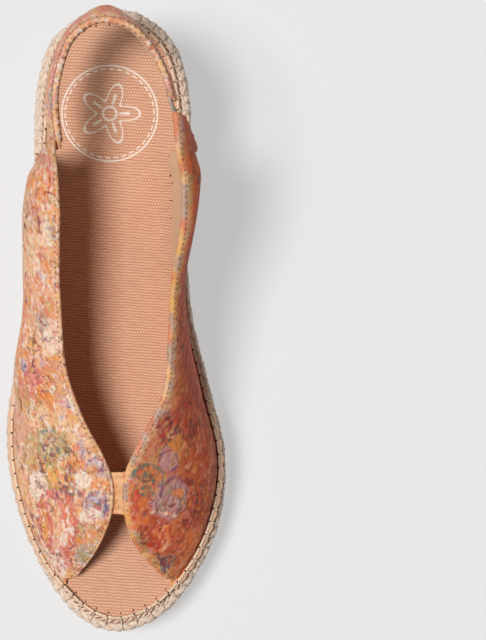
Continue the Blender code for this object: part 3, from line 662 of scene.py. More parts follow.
def braid(number, name):
    """Three laid strands plaited flat, and the backing that closes the gaps between them, coloured darker as painted
    shade in the gaps.
    """
    order, low, high, closed = braid_route(number)
    base = np.column_stack([PLAN[order], np.zeros(len(order))])
    out = np.column_stack([OUTWARD[order], np.zeros(len(order))])
    along = lengths_along(base)
    step = 0.75
    total = along[-1] + (np.linalg.norm(base[0] - base[-1]) if closed else 0)
    plaits = round(total / 13.5)
    count = int(total / step)
    s = np.arange(count) * total / count if closed else np.linspace(0, total, count)

    def at(values):
        if closed:
            values, places = np.concatenate([values, values[:1]]), np.concatenate([along, [total]])
        else:
            places = along
        if values.ndim == 1:
            return np.interp(s, places, values)
        return np.stack([np.interp(s, places, values[:, k]) for k in range(3)], axis=1)

    base, out, low, high = at(base), unit(at(out)), at(low), at(high)
    height, middle = high - low, (high + low) / 2
    fit = height / (BRAID_PITCH - GAP)
    lean = UNDERCUT * (footbed(base[:, 1]) - middle)
    parts = []
    for strand in range(3):
        phase = 2 * math.pi * plaits * s / total + strand * 2 * math.pi / 3
        jitter = layered_noise(np.column_stack([s / 6, 9.0 * strand + 0 * s, number + 0 * s]), 1.0, number) - 0.5
        rise = fit * (2.05 * np.sin(phase) + 0.5 * jitter)
        depth = 1.45 - 0.85 * np.sin(2 * phase) + 0.5 * jitter
        path = base - out * (lean + depth)[:, None]
        path[:, 2] = middle + rise
        swell = 1 + 0.14 * np.sin(2 * phase + 1.0) + 0.25 * jitter
        parts.append(tube(path, 1.28 * swell, 12, closed, normal=out, wide=1.35 * float(fit.mean()) ** 0.3,
                          lobes=4, twist=0.42))
    points, faces = joined(parts)
    points[:, 2] = np.clip(points[:, 2], 3.0, None)
    made = add_mesh(name, points, faces, LOOKS["jute"])
    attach(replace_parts(made, name.replace("_plait", "")), "shoe")
    # the backing is darker jute: painted shade for the depth between the strands
    back = []
    for inset, level in ((2.6, 0.02), (2.0, 0.5), (2.6, 0.98), (6.5, 0.98), (6.5, 0.02)):
        point = base - out * (lean + inset)[:, None]
        point[:, 2] = low + height * level
        back.append(point)
    ring = np.stack(back, axis=1)
    faces = [grid_faces(count, len(back), wrap_rows=closed, wrap_columns=True)]
    if not closed:
        faces += [np.arange(len(back))[None, ::-1], ((count - 1) * len(back) + np.arange(len(back)))[None, :]]
    points = ring.reshape(-1, 3)
    core = add_mesh(name + "_core", points, facing_out(points - points.mean(0), faces), LOOKS["shaded_jute_core"])
    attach(core, "shoe")


def inner_row():
    """Two-ply jute that fills the rim between the braid and the canvas at the toe and the heel."""
    inset = np.maximum(CORD - CANVAS_STEP - 0.9, 2.6)
    base = np.column_stack([PLAN - OUTWARD * (inset + 0.1)[:, None], footbed(PLAN[:, 1]) - CANVAS - GAP - 0.95])
    closed = np.vstack([base, base[:1]])
    total = lengths_along(closed)[-1]
    count = int(total / 0.7)
    path = spaced(closed, count + 1)[:-1]
    along = unit(np.roll(path, -1, axis=0) - np.roll(path, 1, axis=0))
    across = unit(np.cross(along, (0, 0, 1.0)))
    upward = np.cross(across, along)
    parts = []
    for ply in (0, 1, 2):
        turn = 2 * math.pi * round(total / 8.5) * np.arange(count) / count + 2 * math.pi * ply / 3
        offset = 0.85 * np.cos(turn)[:, None] * across + 0.35 * np.sin(turn)[:, None] * upward
        parts.append(tube(path + offset, 0.62, 8, closed=True, lobes=3, twist=0.5))
    points, faces = joined(parts)
    made = add_mesh("jute_inner_row", points, faces, LOOKS["jute"])
    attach(made, "shoe")


def jute_hairs():
    """Loose fibres that stand off the braids."""
    draw = np.random.default_rng(5)
    parts = []
    for _ in range(420):
        i = int(draw.integers(len(PLAN)))
        y = PLAN[i, 1]
        top = footbed(y) - CANVAS
        height = draw.uniform(max(3.5, top - 2 * BRAID_PITCH), top) if draw.random() < 0.7 else top - 0.4
        lean = UNDERCUT * (footbed(y) - height)
        out = np.array([*OUTWARD[i], 0.0])
        side = np.array([-OUTWARD[i][1], OUTWARD[i][0], 0.0]) * draw.choice((-1, 1))
        start = np.array([*PLAN[i], height]) - out * (lean + 1.0)
        length = draw.uniform(1.5, 4.5)
        t = np.linspace(0, 1, 5)[:, None]
        curl = draw.uniform(-0.8, 0.8)
        path = (start + t * length * (0.55 * side + out * draw.uniform(0.15, 0.45))
                + t * t * length * curl * 0.35 * np.array([0, 0, 1.0]))
        parts.append(tube(path, 0.07 * (1 - 0.6 * t[:, 0]), 3))
    points, faces = joined(parts)
    made = add_mesh("jute_hairs", points, faces, LOOKS["hair"])
    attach(made, "shoe")


def sole():
    for number in range(1, 8):
        braid(number, f"jute_braid_{number}_top_plait" if number == 1 else f"jute_braid_{number}_plait")
    inner_row()
    jute_hairs()
    insole_canvas()
    nodes = frame["nodes"]
    for name, look in (("outsole", "rubber"), ("wedge_core", "eva"), ("insole_board", "board"),
                       ("insole_cushion", "foam"), ("stiffener_lateral", "interlining"),
                       ("stiffener_medial", "interlining")):
        nodes[name].data.materials.clear()
        nodes[name].data.materials.append(LOOKS[look])


# ---- the upper's shape --------------------------------------------------------------------------
def station_values(side):
    rows = []
    for base_y, x, y, height, bulge, droop in STATIONS[side]:
        base_x, _ = edge_at(side, base_y, CORD + WALL_STEP)
        base_z = float(footbed(base_y)) + SEWN_GAP + FABRIC
        rows.append((float(base_x), base_y, base_z, x, y, float(footbed(y)) + height, bulge, droop))
    rows += [(*row, 0.25) for row in REAR[side]]
    return np.array(rows)


PANELS = {side: station_values(side) for side in (LATERAL, MEDIAL)}


def panel_surface(side, u, v):
    """Outer face of a panel at the arrays u and v, which have one shape."""
    shape = u.shape
    u, v = u.ravel(), v.ravel()[:, None]
    row = smooth(PANELS[side], u)
    base, edge, bulge, droop = row[:, :3].copy(), row[:, 3:6], row[:, 6:7], row[:, 7:8]
    x, normal = edge_at(side, base[:, 1], CORD + WALL_STEP)
    sewn = smoothstep(LAST_SEWN + 0.5, LAST_SEWN, u)[:, None]
    base[:, 0] = np.where(u <= LAST_SEWN, x, base[:, 0])
    base[:, 2] = np.where(u <= LAST_SEWN, 0, base[:, 2])
    base[:, 2] = np.maximum(base[:, 2], footbed(base[:, 1]) + SEWN_GAP + FABRIC)
    outward = unit(sewn * normal + (1 - sewn) * np.array([side, 0.0, 0.0]))
    closing = 0.3 + 0.7 * smoothstep(0, 0.8, u)[:, None]
    edge = base + (edge - base) * closing
    height = edge[:, 2:] - base[:, 2:]
    run = (edge - base) * (1, 1, 0)
    lift = height * (0, 0, 1)
    low = base + outward * 0.6 * bulge + 0.45 * lift
    high = edge - 0.5 * run + outward * bulge - droop * lift
    w = 1 - v
    points = w ** 3 * base + 3 * w * w * v * low + 3 * w * v * v * high + v ** 3 * edge
    return points.reshape(*shape, 3)


def panel_frame(side, u, v):
    """Points of the outer face with their unit tangents to the heel and to the free edge, and outward normals."""
    step = 0.01
    top = len(PANELS[side]) - 1
    here = panel_surface(side, u, v)
    heelward = panel_surface(side, np.minimum(u + step, top), v) - panel_surface(side, np.maximum(u - step, 0), v)
    upward = panel_surface(side, u, np.minimum(v + step, 1)) - panel_surface(side, u, np.maximum(v - step, 0))
    return here, unit(heelward), unit(upward), unit(np.cross(heelward, upward) * side)


def inside_panel(side, u, v, depth):
    here, _, _, normal = panel_frame(side, u, v)
    return here - normal * np.broadcast_to(depth, u.shape)[..., None]


def even_stations(side, first, last, step):
    """Values of u whose points lie evenly along the panel."""
    u = np.linspace(first, last, 600)
    lengths = np.mean([lengths_along(panel_surface(side, u, np.full_like(u, v))) for v in (0.1, 0.5, 0.95)], axis=0)
    return np.interp(np.linspace(0, lengths[-1], int(lengths[-1] / step)), lengths, u)


def ruffle(side, points, base_distance, edge_distance, along):
    """How far the cloth stands off its smooth shape: soft waves, gathers at the seam and a pressed stitch line."""
    wave = 0.9 * (layered_noise(points, (15, 26, 15), 11.0 + side) - 0.5)
    ripple = 0.35 * (layered_noise(points, (4, 9, 4), 17.0 + side) - 0.5)
    gathers = 0.28 * np.cos(2 * math.pi * along / 5.5) * np.exp(-base_distance / 2.6)
    pull = 0.16 * np.cos(2 * math.pi * along / 4.2) * np.exp(-((edge_distance - 1.8) / 1.2) ** 2)
    groove = -0.22 * np.exp(-((edge_distance - 1.2) / 0.4) ** 2)
    calm = smoothstep(0, 2.5, base_distance)
    return (wave * calm * smoothstep(0, 4, edge_distance) + ripple * calm + gathers + pull + groove)


# Each printed cloth's flat (greatest width, greatest length) in metres, and its area, measured on its mesh.
PRINT_CUT = {LATERAL: ((0.0692, 0.2319), 0.0110), MEDIAL: ((0.0666, 0.2365), 0.0104)}


def panel_sheet(side, word):
    """Printed cloth of one side as one skin: lip, wall, rolled free edge, and the facing turned in behind it."""
    u = even_stations(side, 0, 16, CLOTH_STEP)
    wall_count = 118
    radius = HEM_RADIUS[side]
    fine = np.linspace(0, 1, 241)
    curves = panel_surface(side, *np.meshgrid(u, fine, indexing="ij"))
    steps = np.linalg.norm(np.diff(curves, axis=1), axis=2)
    lengths = np.concatenate([np.zeros((len(u), 1)), np.cumsum(steps, axis=1)], axis=1)
    share = np.linspace(0, 1, wall_count)
    tall = lengths[:, -1]
    stop = np.maximum(tall - radius, 0.4 * tall)
    v = np.stack([np.interp(share * stop[i], lengths[i], fine) for i in range(len(u))])
    wall, _, upward, normal = panel_frame(side, np.broadcast_to(u[:, None], v.shape), v)
    from_base = share[None, :] * stop[:, None]
    to_edge = tall[:, None] - from_base
    along = np.broadcast_to(lengths_along(wall[:, 0])[:, None], v.shape)
    wall = wall + normal * ruffle(side, wall, from_base, to_edge, along)[..., None]
    # the lip, from its turned-down outer edge in to the stitch line
    free = np.clip(u - LAST_SEWN, 0, 1)[:, None]
    base, out = wall[:, 0], edge_at(side, wall[:, 0, 1], CORD + WALL_STEP)[1]
    down = -upward[:, 0]
    flat = []
    for reach, fall in ((1.0, 0.95), (1.06, 0.55), (1.0, 0.12), (0.8, 0.0), (0.6, 0.0), (0.4, 0.02), (0.2, 0.1)):
        point = base + (1 - free) * out * (WALL_STEP + LIP_STEP) * reach
        point[:, 2] += (1 - free[:, 0]) * (footbed(point[:, 1]) - footbed(base[:, 1]) - fall)
        hem = (1 - reach) * 0.9
        tuck = np.clip(fall * 2.2, 0, 2.2)
        flat.append(point + free * (down * (0.6 - hem) - normal[:, 0] * tuck))
    lip = np.stack(flat, axis=1)
    # the rolled edge and the facing
    turns = np.linspace(0, math.pi, 9)[1:]
    roll_radius = np.minimum(radius, 0.45 * tall)[:, None]
    centre = wall[:, -1] - normal[:, -1] * roll_radius
    roll = np.stack([centre + roll_radius * (normal[:, -1] * math.cos(a) + upward[:, -1] * math.sin(a))
                     for a in turns], axis=1)
    facing_v = np.linspace(0.985, FACING, 10)
    facing_u = np.broadcast_to(u[:, None], (len(u), len(facing_v)))
    behind = panel_frame(side, facing_u, np.broadcast_to(facing_v, facing_u.shape))
    depth = np.minimum(2 * radius, 0.9 * tall)[:, None] - 0.5 * smoothstep(0.91, 0.86, facing_v)[None, :]
    facing = behind[0] - behind[3] * depth[..., None]
    grid = np.concatenate([lip, wall, roll, facing], axis=1)
    rows, columns = grid.shape[:2]
    widths = np.linalg.norm(np.diff(grid, axis=1), axis=2)
    cloth_y = np.concatenate([np.zeros((rows, 1)), np.cumsum(widths, axis=1)], axis=1)
    cloth_x = np.broadcast_to(lengths_along(wall[:, wall_count // 2])[:, None], cloth_y.shape)
    cloth = np.stack([cloth_x, cloth_y], axis=-1)
    to_edge = np.concatenate([np.broadcast_to(tall[:, None], (rows, lip.shape[1])), to_edge,
                              np.zeros((rows, len(turns))), np.full((rows, len(facing_v)), -1.0)], axis=1)
    paint = printed(side, grid.reshape(-1, 3), to_edge.reshape(-1)).reshape(rows, columns, 3)
    sewn = (0.85 * (1 - free))[:, None]
    paint[:, :5] = paint[:, :5] * (1 - sewn) + colour(224, 188, 160) * sewn
    paint = paint.reshape(-1, 3)
    faces = grid_faces(rows, columns)
    if side == MEDIAL:
        faces = faces[:, ::-1]
    made = add_mesh(f"upper_{word}_print", grid.reshape(-1, 3), [faces], LOOKS["print"], cloth.reshape(-1, 2), paint)
    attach(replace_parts(made, f"upper_{word}"), "shoe")
    flat, area = PRINT_CUT[side]
    edge_stitches(side, word)


def edge_stitches(side, word):
    """Short dark stitches pressed into the cloth along the free edge."""
    u = even_stations(side, 0.6, 15.7, 0.5)
    free_edge, base = panel_surface(side, u, np.ones_like(u)), panel_surface(side, u, np.zeros_like(u))
    v = 1 - 1.15 / np.maximum(np.linalg.norm(free_edge - base, axis=1) * 1.06, 4)
    line, _, _, normal = panel_frame(side, u, v)
    path = line - normal * 0.16
    along = lengths_along(path)
    parts = []
    pitch, length = 2.1, 1.0
    for start in np.arange(1.0, along[-1] - 3, pitch):
        places = start + np.linspace(0, length, 6)
        stitch = np.stack([np.interp(places, along, path[:, k]) for k in range(3)], axis=1)
        out = np.stack([np.interp(places, along, normal[:, k]) for k in range(3)], axis=1)
        arch = np.sin(np.linspace(0, math.pi, 6))
        stitch = stitch + out * (0.16 * arch - 0.04)[:, None]
        parts.append(tube(stitch, 0.13 * (0.5 + 0.5 * arch), 6, normal=out))
    points, faces = joined(parts)
    made = add_mesh(f"edge_stitches_{word}", points, faces, LOOKS["stitch"])
    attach(made, "shoe")


def lining(side, word, last):
    """Plain lining that shows inside, below the facing."""
    u = even_stations(side, 1.3, last, 0.9)
    v = np.linspace(0.04, 0.9, 60)
    uu, vv = np.meshgrid(u, v, indexing="ij")
    depth = 2.5 - 0.85 * smoothstep(0.8, 0.88, vv)
    depth = np.minimum(depth, 0.8 + 1.2 * smoothstep(1.0, 3.0, uu) + 0.5)
    outer = inside_panel(side, uu, vv, depth)
    crease = 0.5 * (layered_noise(outer, (9, 18, 9), 23.0 + side) - 0.5)
    _, _, _, normal = panel_frame(side, uu, vv)
    outer = outer - normal * (0.1 + np.abs(crease))[..., None]
    rows, columns = outer.shape[:2]
    cloth = np.stack([np.broadcast_to(lengths_along(outer[:, 30])[:, None], vv.shape),
                      np.broadcast_to(lengths_along(outer[rows // 2])[None, :], vv.shape)], axis=-1)
    inner = outer + normal * 0.4
    points = np.vstack([outer.reshape(-1, 3), inner.reshape(-1, 3)])
    front, back = grid_faces(rows, columns), grid_faces(rows, columns, first=rows * columns)
    faces = facing_out(points - points.mean(0), [np.vstack([front, back[:, ::-1]])])
    made = add_mesh(f"lining_{word}_cloth", points, faces, LOOKS["lining"], np.vstack([cloth.reshape(-1, 2)] * 2))
    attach(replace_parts(made, f"lining_{word}"), "shoe")


def throat_bridge():
    """The gathered tab that joins the two panels behind their rolled edges."""
    rows, columns = 64, 44
    share = np.linspace(0, 1, rows)
    ends = []
    for side, first, last in ((LATERAL, 3.62, 5.58), (MEDIAL, 4.12, 6.08)):
        u = first + (last - first) * share
        for v in (0.87, 0.94, 0.995):
            ends.append((side, inside_panel(side, u, np.full_like(u, v), 1.9)))
    knots = [ends[k][1] for k in (0, 1, 2, 5, 4, 3)]
    t = np.linspace(0, len(knots) - 1, columns)
    grid = np.stack([smooth(np.array([knot[i] for knot in knots]), t) for i in range(rows)])
    middle = np.sin(np.linspace(0, math.pi, columns)) ** 2
    waist = grid.mean(axis=0, keepdims=True)
    grid = grid + (waist - grid) * (0.16 * middle)[None, :, None]
    normals = grid_normals(grid)
    normals = normals * np.sign(normals[..., 2:3] + 1e-9)
    grid = grid + normals * (0.35 * middle + 0.10 * np.cos(share * 34)[:, None] * middle)[..., None]

    def paint(ring):
        flat = ring.reshape(-1, 3)
        tone = layered_noise(flat, (4, 7, 4), 41)
        mixed = blend_colours(colour(222, 140, 90), colour(244, 190, 140), smoothstep(0.3, 0.6, tone))
        pink = 0.6 * smoothstep(0.60, 0.70, layered_noise(flat, 4, 43))
        return blend_colours(mixed, colour(228, 128, 104), pink).reshape(*ring.shape[:2], 3)

    made = band("throat_bridge_tab", grid, normals, 1.0, LOOKS["print"], paint)
    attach(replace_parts(made, "throat_bridge"), "shoe")


# ---- the print ----------------------------------------------------------------------------------
def blend_colours(a, b, share):
    share = np.asarray(share)[..., None]
    return np.asarray(a) * (1 - share) + np.asarray(b) * share


INK = {
    "orange": colour(240, 146, 72), "peach": colour(248, 196, 146), "tan": colour(204, 168, 116),
    "coral": colour(228, 108, 84), "pink": colour(238, 156, 150), "rose": colour(206, 76, 92),
    "cream": colour(252, 232, 214), "lavender": colour(192, 174, 192), "violet": colour(116, 82, 124),
    "navy": colour(66, 66, 104), "teal": colour(86, 128, 118), "olive": colour(160, 156, 96),
    "grey": colour(172, 164, 156), "red": colour(196, 58, 44), "rust": colour(184, 78, 36),
    "wine": colour(120, 38, 48), "yellow": colour(238, 178, 84), "plum": colour(94, 42, 76),
}


class Cloth:
    """The print of one panel: points of the cloth, their colours, and marks laid on in order."""

    def __init__(self, side, points):
        self.side, self.points = side, points
        warp = np.stack([value_noise(points, 5.0, 60 + k) - 0.5 for k in range(3)], axis=1)
        shake = np.stack([value_noise(points, 1.5, 70 + k) - 0.5 for k in range(3)], axis=1)
        jag = np.stack([value_noise(points, (0.8, 1.2, 0.8), 80 + k) - 0.5 for k in range(3)], axis=1)
        self.warped = points + 2.4 * warp + 1.5 * shake + 0.8 * jag
        self.brush = value_noise(points, (1.0, 1.7, 1.0), 87)
        self.paint = None

    def local(self, u, v, turn=0.0):
        """Coordinates of the points about (u, v): towards the heel and the free edge, turned by turn degrees."""
        place = panel_frame(self.side, np.array([float(u)]), np.array([float(v)]))
        here, heelward, upward, normal = (a[0] for a in place)
        upward = unit(upward - heelward * (upward @ heelward))
        offset = self.warped - here
        along, across = offset @ heelward, offset @ upward
        c, s = math.cos(math.radians(turn)), math.sin(math.radians(turn))
        near = np.abs(offset @ normal) < 14
        return along * c + across * s, across * c - along * s, near

    def lay(self, ink, share):
        dry = 0.7 + 0.4 * smoothstep(0.2, 0.6, self.brush)
        self.paint = blend_colours(self.paint, INK[ink], np.clip(share * dry, 0, 1))

    def patch(self, u, v, radius, ink, strength=0.85, long=1.0, turn=0.0):
        """A soft-edged wash."""
        a, b, near = self.local(u, v, turn)
        self.lay(ink, strength * near * smoothstep(1.12, 0.75, np.hypot(a / (radius * long), b / radius)))

    def ring(self, u, v, radius, ink, width=0.6, long=1.0, turn=0.0, broken=0.45, strength=0.9):
        """A painted outline, broken where the brush was dry."""
        a, b, near = self.local(u, v, turn)
        away = (np.hypot(a / long, b) - radius) * 1.0
        dry = smoothstep(broken - 0.12, broken + 0.05, value_noise(self.points, 2.2, u + 9 * v))
        self.lay(ink, strength * near * dry * smoothstep(width, width * 0.35, np.abs(away)))

    def petal(self, u, v, length, breadth, turn, inks):
        """A petal from its root at -length/2: an edge colour, a body colour and a pale stripe down its middle."""
        a, b, near = self.local(u, v, turn)
        t = a / length + 0.5
        half = breadth / 2 * np.sqrt(np.clip(np.sin(math.pi * np.clip(t, 0, 1) ** 0.75), 0, 1))
        inside = (t > 0) & (t < 1)
        edge, body, stripe = inks
        depth = (half - np.abs(b)) * inside - 9.0 * ~inside
        self.lay(body, 0.95 * near * smoothstep(-0.1, 0.5, depth))
        self.lay(edge, 0.85 * near * smoothstep(-0.1, 0.3, depth) * smoothstep(1.5, 0.6, depth))
        middle = smoothstep(breadth * 0.16, breadth * 0.04, np.abs(b - 0.4))
        self.lay(stripe, 0.75 * near * smoothstep(0, 0.5, depth) * middle)

    def flower(self, u, v, radius, petals, inks, turn=0.0):
        """An open flower: petals round a speckled heart."""
        body, outline, heart, speck = inks
        a, b, near = self.local(u, v, turn)
        angle, away = np.arctan2(b, a), np.hypot(a, b)
        reach = radius * (0.78 + 0.24 * np.abs(np.cos(petals * angle / 2)))
        self.lay(body, 0.9 * near * smoothstep(reach + 0.4, reach - 0.4, away))
        self.lay(outline, 0.85 * near * smoothstep(0.75, 0.2, np.abs(away - reach)))
        rays = smoothstep(0.25, 0.6, np.abs(np.sin(petals * angle))) * smoothstep(reach, reach * 0.5, away)
        self.lay(outline, 0.35 * near * rays)
        self.lay(heart, 0.9 * near * smoothstep(radius * 0.42, radius * 0.3, away))
        self.specks(u, v, radius * 0.55, speck, 0.62)

    def specks(self, u, v, radius, ink, amount=0.55, long=1.0, turn=0.0, size=1.15):
        """Dots and short dabs."""
        a, b, near = self.local(u, v, turn)
        field = value_noise(self.points, (size, size * 1.3, size), 3 * u + v)
        inside = smoothstep(1.1, 0.7, np.hypot(a / (radius * long), b / radius))
        self.lay(ink, 0.85 * near * inside * smoothstep(amount, amount + 0.08, field))

    def streak(self, u, v, length, width, turn, ink, strength=0.9):
        a, b, near = self.local(u, v, turn)
        ends = smoothstep(length / 2, length / 2 - 1.5, np.abs(a))
        self.lay(ink, strength * near * smoothstep(width, width * 0.4, np.abs(b)) * ends)


def ground(cloth, painted_shade):
    """The washed ground of the print: drawn-out patches of orange, peach, tan and pink with cream gaps. Its second
    argument lays rust over it as painted shade.
    """
    points, warped = cloth.points, cloth.warped
    broad = layered_noise(warped, (11, 20, 13), 1)
    fine = layered_noise(warped, (3.4, 7.5, 3.4), 5)
    hue = layered_noise(warped, (7, 11, 7), 9)
    paint = blend_colours(INK["coral"], INK["orange"], smoothstep(0.22, 0.38, broad))
    paint = blend_colours(paint, INK["peach"], smoothstep(0.40, 0.56, broad))
    paint = blend_colours(paint, INK["tan"], 0.75 * smoothstep(0.55, 0.66, hue))
    paint = blend_colours(paint, INK["pink"], 0.7 * smoothstep(0.40, 0.30, hue))
    paint = blend_colours(paint, INK["orange"], 0.55 * smoothstep(0.52, 0.66, fine))
    paint = blend_colours(paint, INK["cream"], 0.75 * smoothstep(0.64, 0.74, layered_noise(warped, (3, 6, 3), 13)))
    lilac = smoothstep(0.66, 0.74, layered_noise(warped, (5, 7, 5), 21))
    paint = blend_colours(paint, INK["lavender"], 0.7 * lilac)
    # painted shade: rust laid over the ground, as far as the second argument's share reaches
    paint = blend_colours(paint, INK["rust"], painted_shade * (0.6 + 0.4 * smoothstep(0.35, 0.6, fine)))
    return blend_colours(paint, INK["coral"], 0.5 * smoothstep(0.72, 0.8, value_noise(points, (1.4, 2.4, 1.4), 31)))


def dabs(cloth, light):
    """Small dabs over the whole print, drawn out along the foot, and fine curling strokes in places."""
    for ink, size, level, share, seed in (
            ("cream", (1.0, 2.4, 1.0), 0.74, 0.7 * light, 141), ("pink", (1.3, 2.2, 1.3), 0.74, 0.5 * light, 143),
            ("rust", (1.0, 2.2, 1.0), 0.72, 0.55, 145), ("yellow", (1.4, 2.6, 1.4), 0.74, 0.5, 147),
            ("coral", (1.1, 2.4, 1.1), 0.74, 0.55, 153), ("peach", (1.0, 2.2, 1.0), 0.74, 0.5 * light, 155)):
        field = value_noise(cloth.points + 0.5 * (cloth.warped - cloth.points), size, seed)
        cloth.paint = blend_colours(cloth.paint, INK[ink], share * smoothstep(level, level + 0.08, field))
    for ink, size, level, half, share, seed in (
            ("wine", (3.6, 5.0, 3.6), 0.46, 0.036, 0.8, 161), ("plum", (2.8, 3.8, 2.8), 0.56, 0.036, 0.7, 163),
            ("olive", (3.4, 5.2, 3.4), 0.52, 0.034, 0.6, 165),
            ("cream", (4.2, 6.5, 4.2), 0.50, 0.030, 0.85 * light, 167),
            ("rose", (3.8, 6.0, 3.8), 0.54, 0.026, 0.6, 169),
            ("cream", (2.6, 4.0, 2.6), 0.58, 0.024, 0.6 * light, 171)):
        field = value_noise(cloth.warped, size, seed)
        where = smoothstep(0.44, 0.6, layered_noise(cloth.points, (7, 10, 7), seed + 1))
        line = smoothstep(half, 0.4 * half, np.abs(field - level))
        cloth.paint = blend_colours(cloth.paint, INK[ink], share * where * line)


def lateral_print(cloth):
    lay = cloth
    lay.patch(6.6, 0.30, 11, "pink", 0.5)
    lay.patch(5.0, 0.28, 10, "peach", 0.5)
    lay.patch(7.8, 0.92, 8, "orange", 0.6)
    lay.patch(9.3, 0.65, 9, "orange", 0.6, long=1.6)
    lay.patch(10.2, 0.72, 7, "peach", 0.6, long=1.6)
    lay.patch(12.2, 0.83, 6, "orange", 0.8, long=1.4)
    lay.patch(11.0, 0.77, 5, "red", 0.55, long=1.5)
    lay.specks(10.7, 1.0, 5, "plum", 0.55)
    lay.patch(10.1, 0.97, 5, "orange", 0.8)
    lay.streak(9.6, 0.85, 12, 0.7, 12, "cream")
    lay.streak(9.3, 0.88, 9, 0.5, -14, "cream")
    lay.patch(8.6, 0.90, 6, "cream", 0.7, long=1.5)
    lay.patch(8.9, 0.80, 4, "grey", 0.6)
    lay.flower(8.5, 0.72, 6.0, 5, ("orange", "cream", "yellow", "wine"), 20)
    lay.patch(8.05, 0.60, 3.4, "lavender", 0.9)
    lay.specks(8.05, 0.60, 3.4, "navy", 0.55)
    lay.specks(7.9, 0.70, 6, "rose", 0.5)
    lay.specks(7.5, 0.55, 6, "coral", 0.5)
    lay.patch(5.9, 0.50, 9, "olive", 0.45, long=1.3)
    lay.flower(6.3, 0.67, 7.6, 6, ("tan", "olive", "peach", "navy"), 10)
    lay.ring(6.3, 0.67, 6.4, "teal", 0.8, broken=0.5)
    lay.specks(6.35, 0.64, 5.2, "plum", 0.5)
    lay.specks(6.25, 0.72, 5.0, "teal", 0.6)
    lay.petal(5.6, 0.80, 14, 7, 60, ("coral", "orange", "peach"))
    lay.petal(5.2, 0.67, 15, 9, 120, ("olive", "orange", "yellow"))
    lay.petal(5.25, 0.60, 12, 7, 160, ("olive", "yellow", "orange"))
    lay.ring(5.2, 0.67, 6.8, "olive", 0.7, long=1.2, broken=0.4)
    lay.specks(4.85, 0.72, 6.5, "plum", 0.42, long=1.2, turn=35)
    lay.patch(5.2, 0.83, 3.8, "cream", 0.95, long=1.6, turn=60)
    lay.patch(4.8, 0.45, 4.6, "cream", 0.9, long=1.5, turn=20)
    lay.patch(5.7, 0.93, 4.6, "lavender", 0.85)
    lay.ring(5.75, 0.93, 3.0, "violet", 0.6, broken=0.35)
    lay.patch(5.55, 0.90, 2.4, "yellow", 0.7)
    lay.patch(4.9, 0.93, 3.6, "orange", 0.8)
    lay.streak(4.55, 0.88, 9, 0.9, 80, "cream")
    lay.patch(4.2, 0.91, 5.0, "lavender", 0.95, long=1.2)
    lay.ring(4.25, 0.90, 4.4, "violet", 0.7, broken=0.3)
    lay.specks(4.3, 0.93, 4.2, "navy", 0.58)
    lay.patch(3.75, 0.86, 3.4, "cream", 0.95, long=1.4, turn=50)
    lay.petal(3.1, 0.58, 34, 19, 188, ("rose", "coral", "pink"))
    lay.petal(3.0, 0.50, 27, 14, 184, ("cream", "peach", "pink"))
    lay.petal(3.1, 0.45, 22, 7.5, 182, ("rose", "orange", "yellow"))
    lay.streak(3.15, 0.68, 22, 1.0, 186, "cream", 0.8)
    lay.streak(2.95, 0.60, 20, 0.8, 190, "pink", 0.8)
    lay.specks(3.2, 0.45, 6, "red", 0.66, long=1.6)
    lay.ring(3.12, 0.56, 8.6, "wine", 0.5, long=1.75, turn=6, broken=0.5, strength=0.6)
    lay.ring(3.1, 0.46, 3.6, "rose", 0.5, long=2.6, turn=3, broken=0.35, strength=0.8)
    lay.petal(2.8, 0.88, 12, 8, 40, ("tan", "orange", "orange"))
    lay.patch(2.0, 0.92, 5.5, "grey", 0.8, long=1.3)
    lay.specks(2.0, 0.92, 5, "olive", 0.5)
    lay.petal(1.5, 0.62, 14, 8, 170, ("coral", "pink", "cream"))
    lay.patch(1.2, 0.46, 5, "cream", 0.8, long=1.4)
    lay.specks(1.3, 0.5, 5, "rose", 0.6)
    lay.streak(7.4, 0.95, 13, 0.9, 4, "cream", 0.95)
    lay.streak(7.35, 0.92, 9, 0.6, 4, "violet", 0.85)


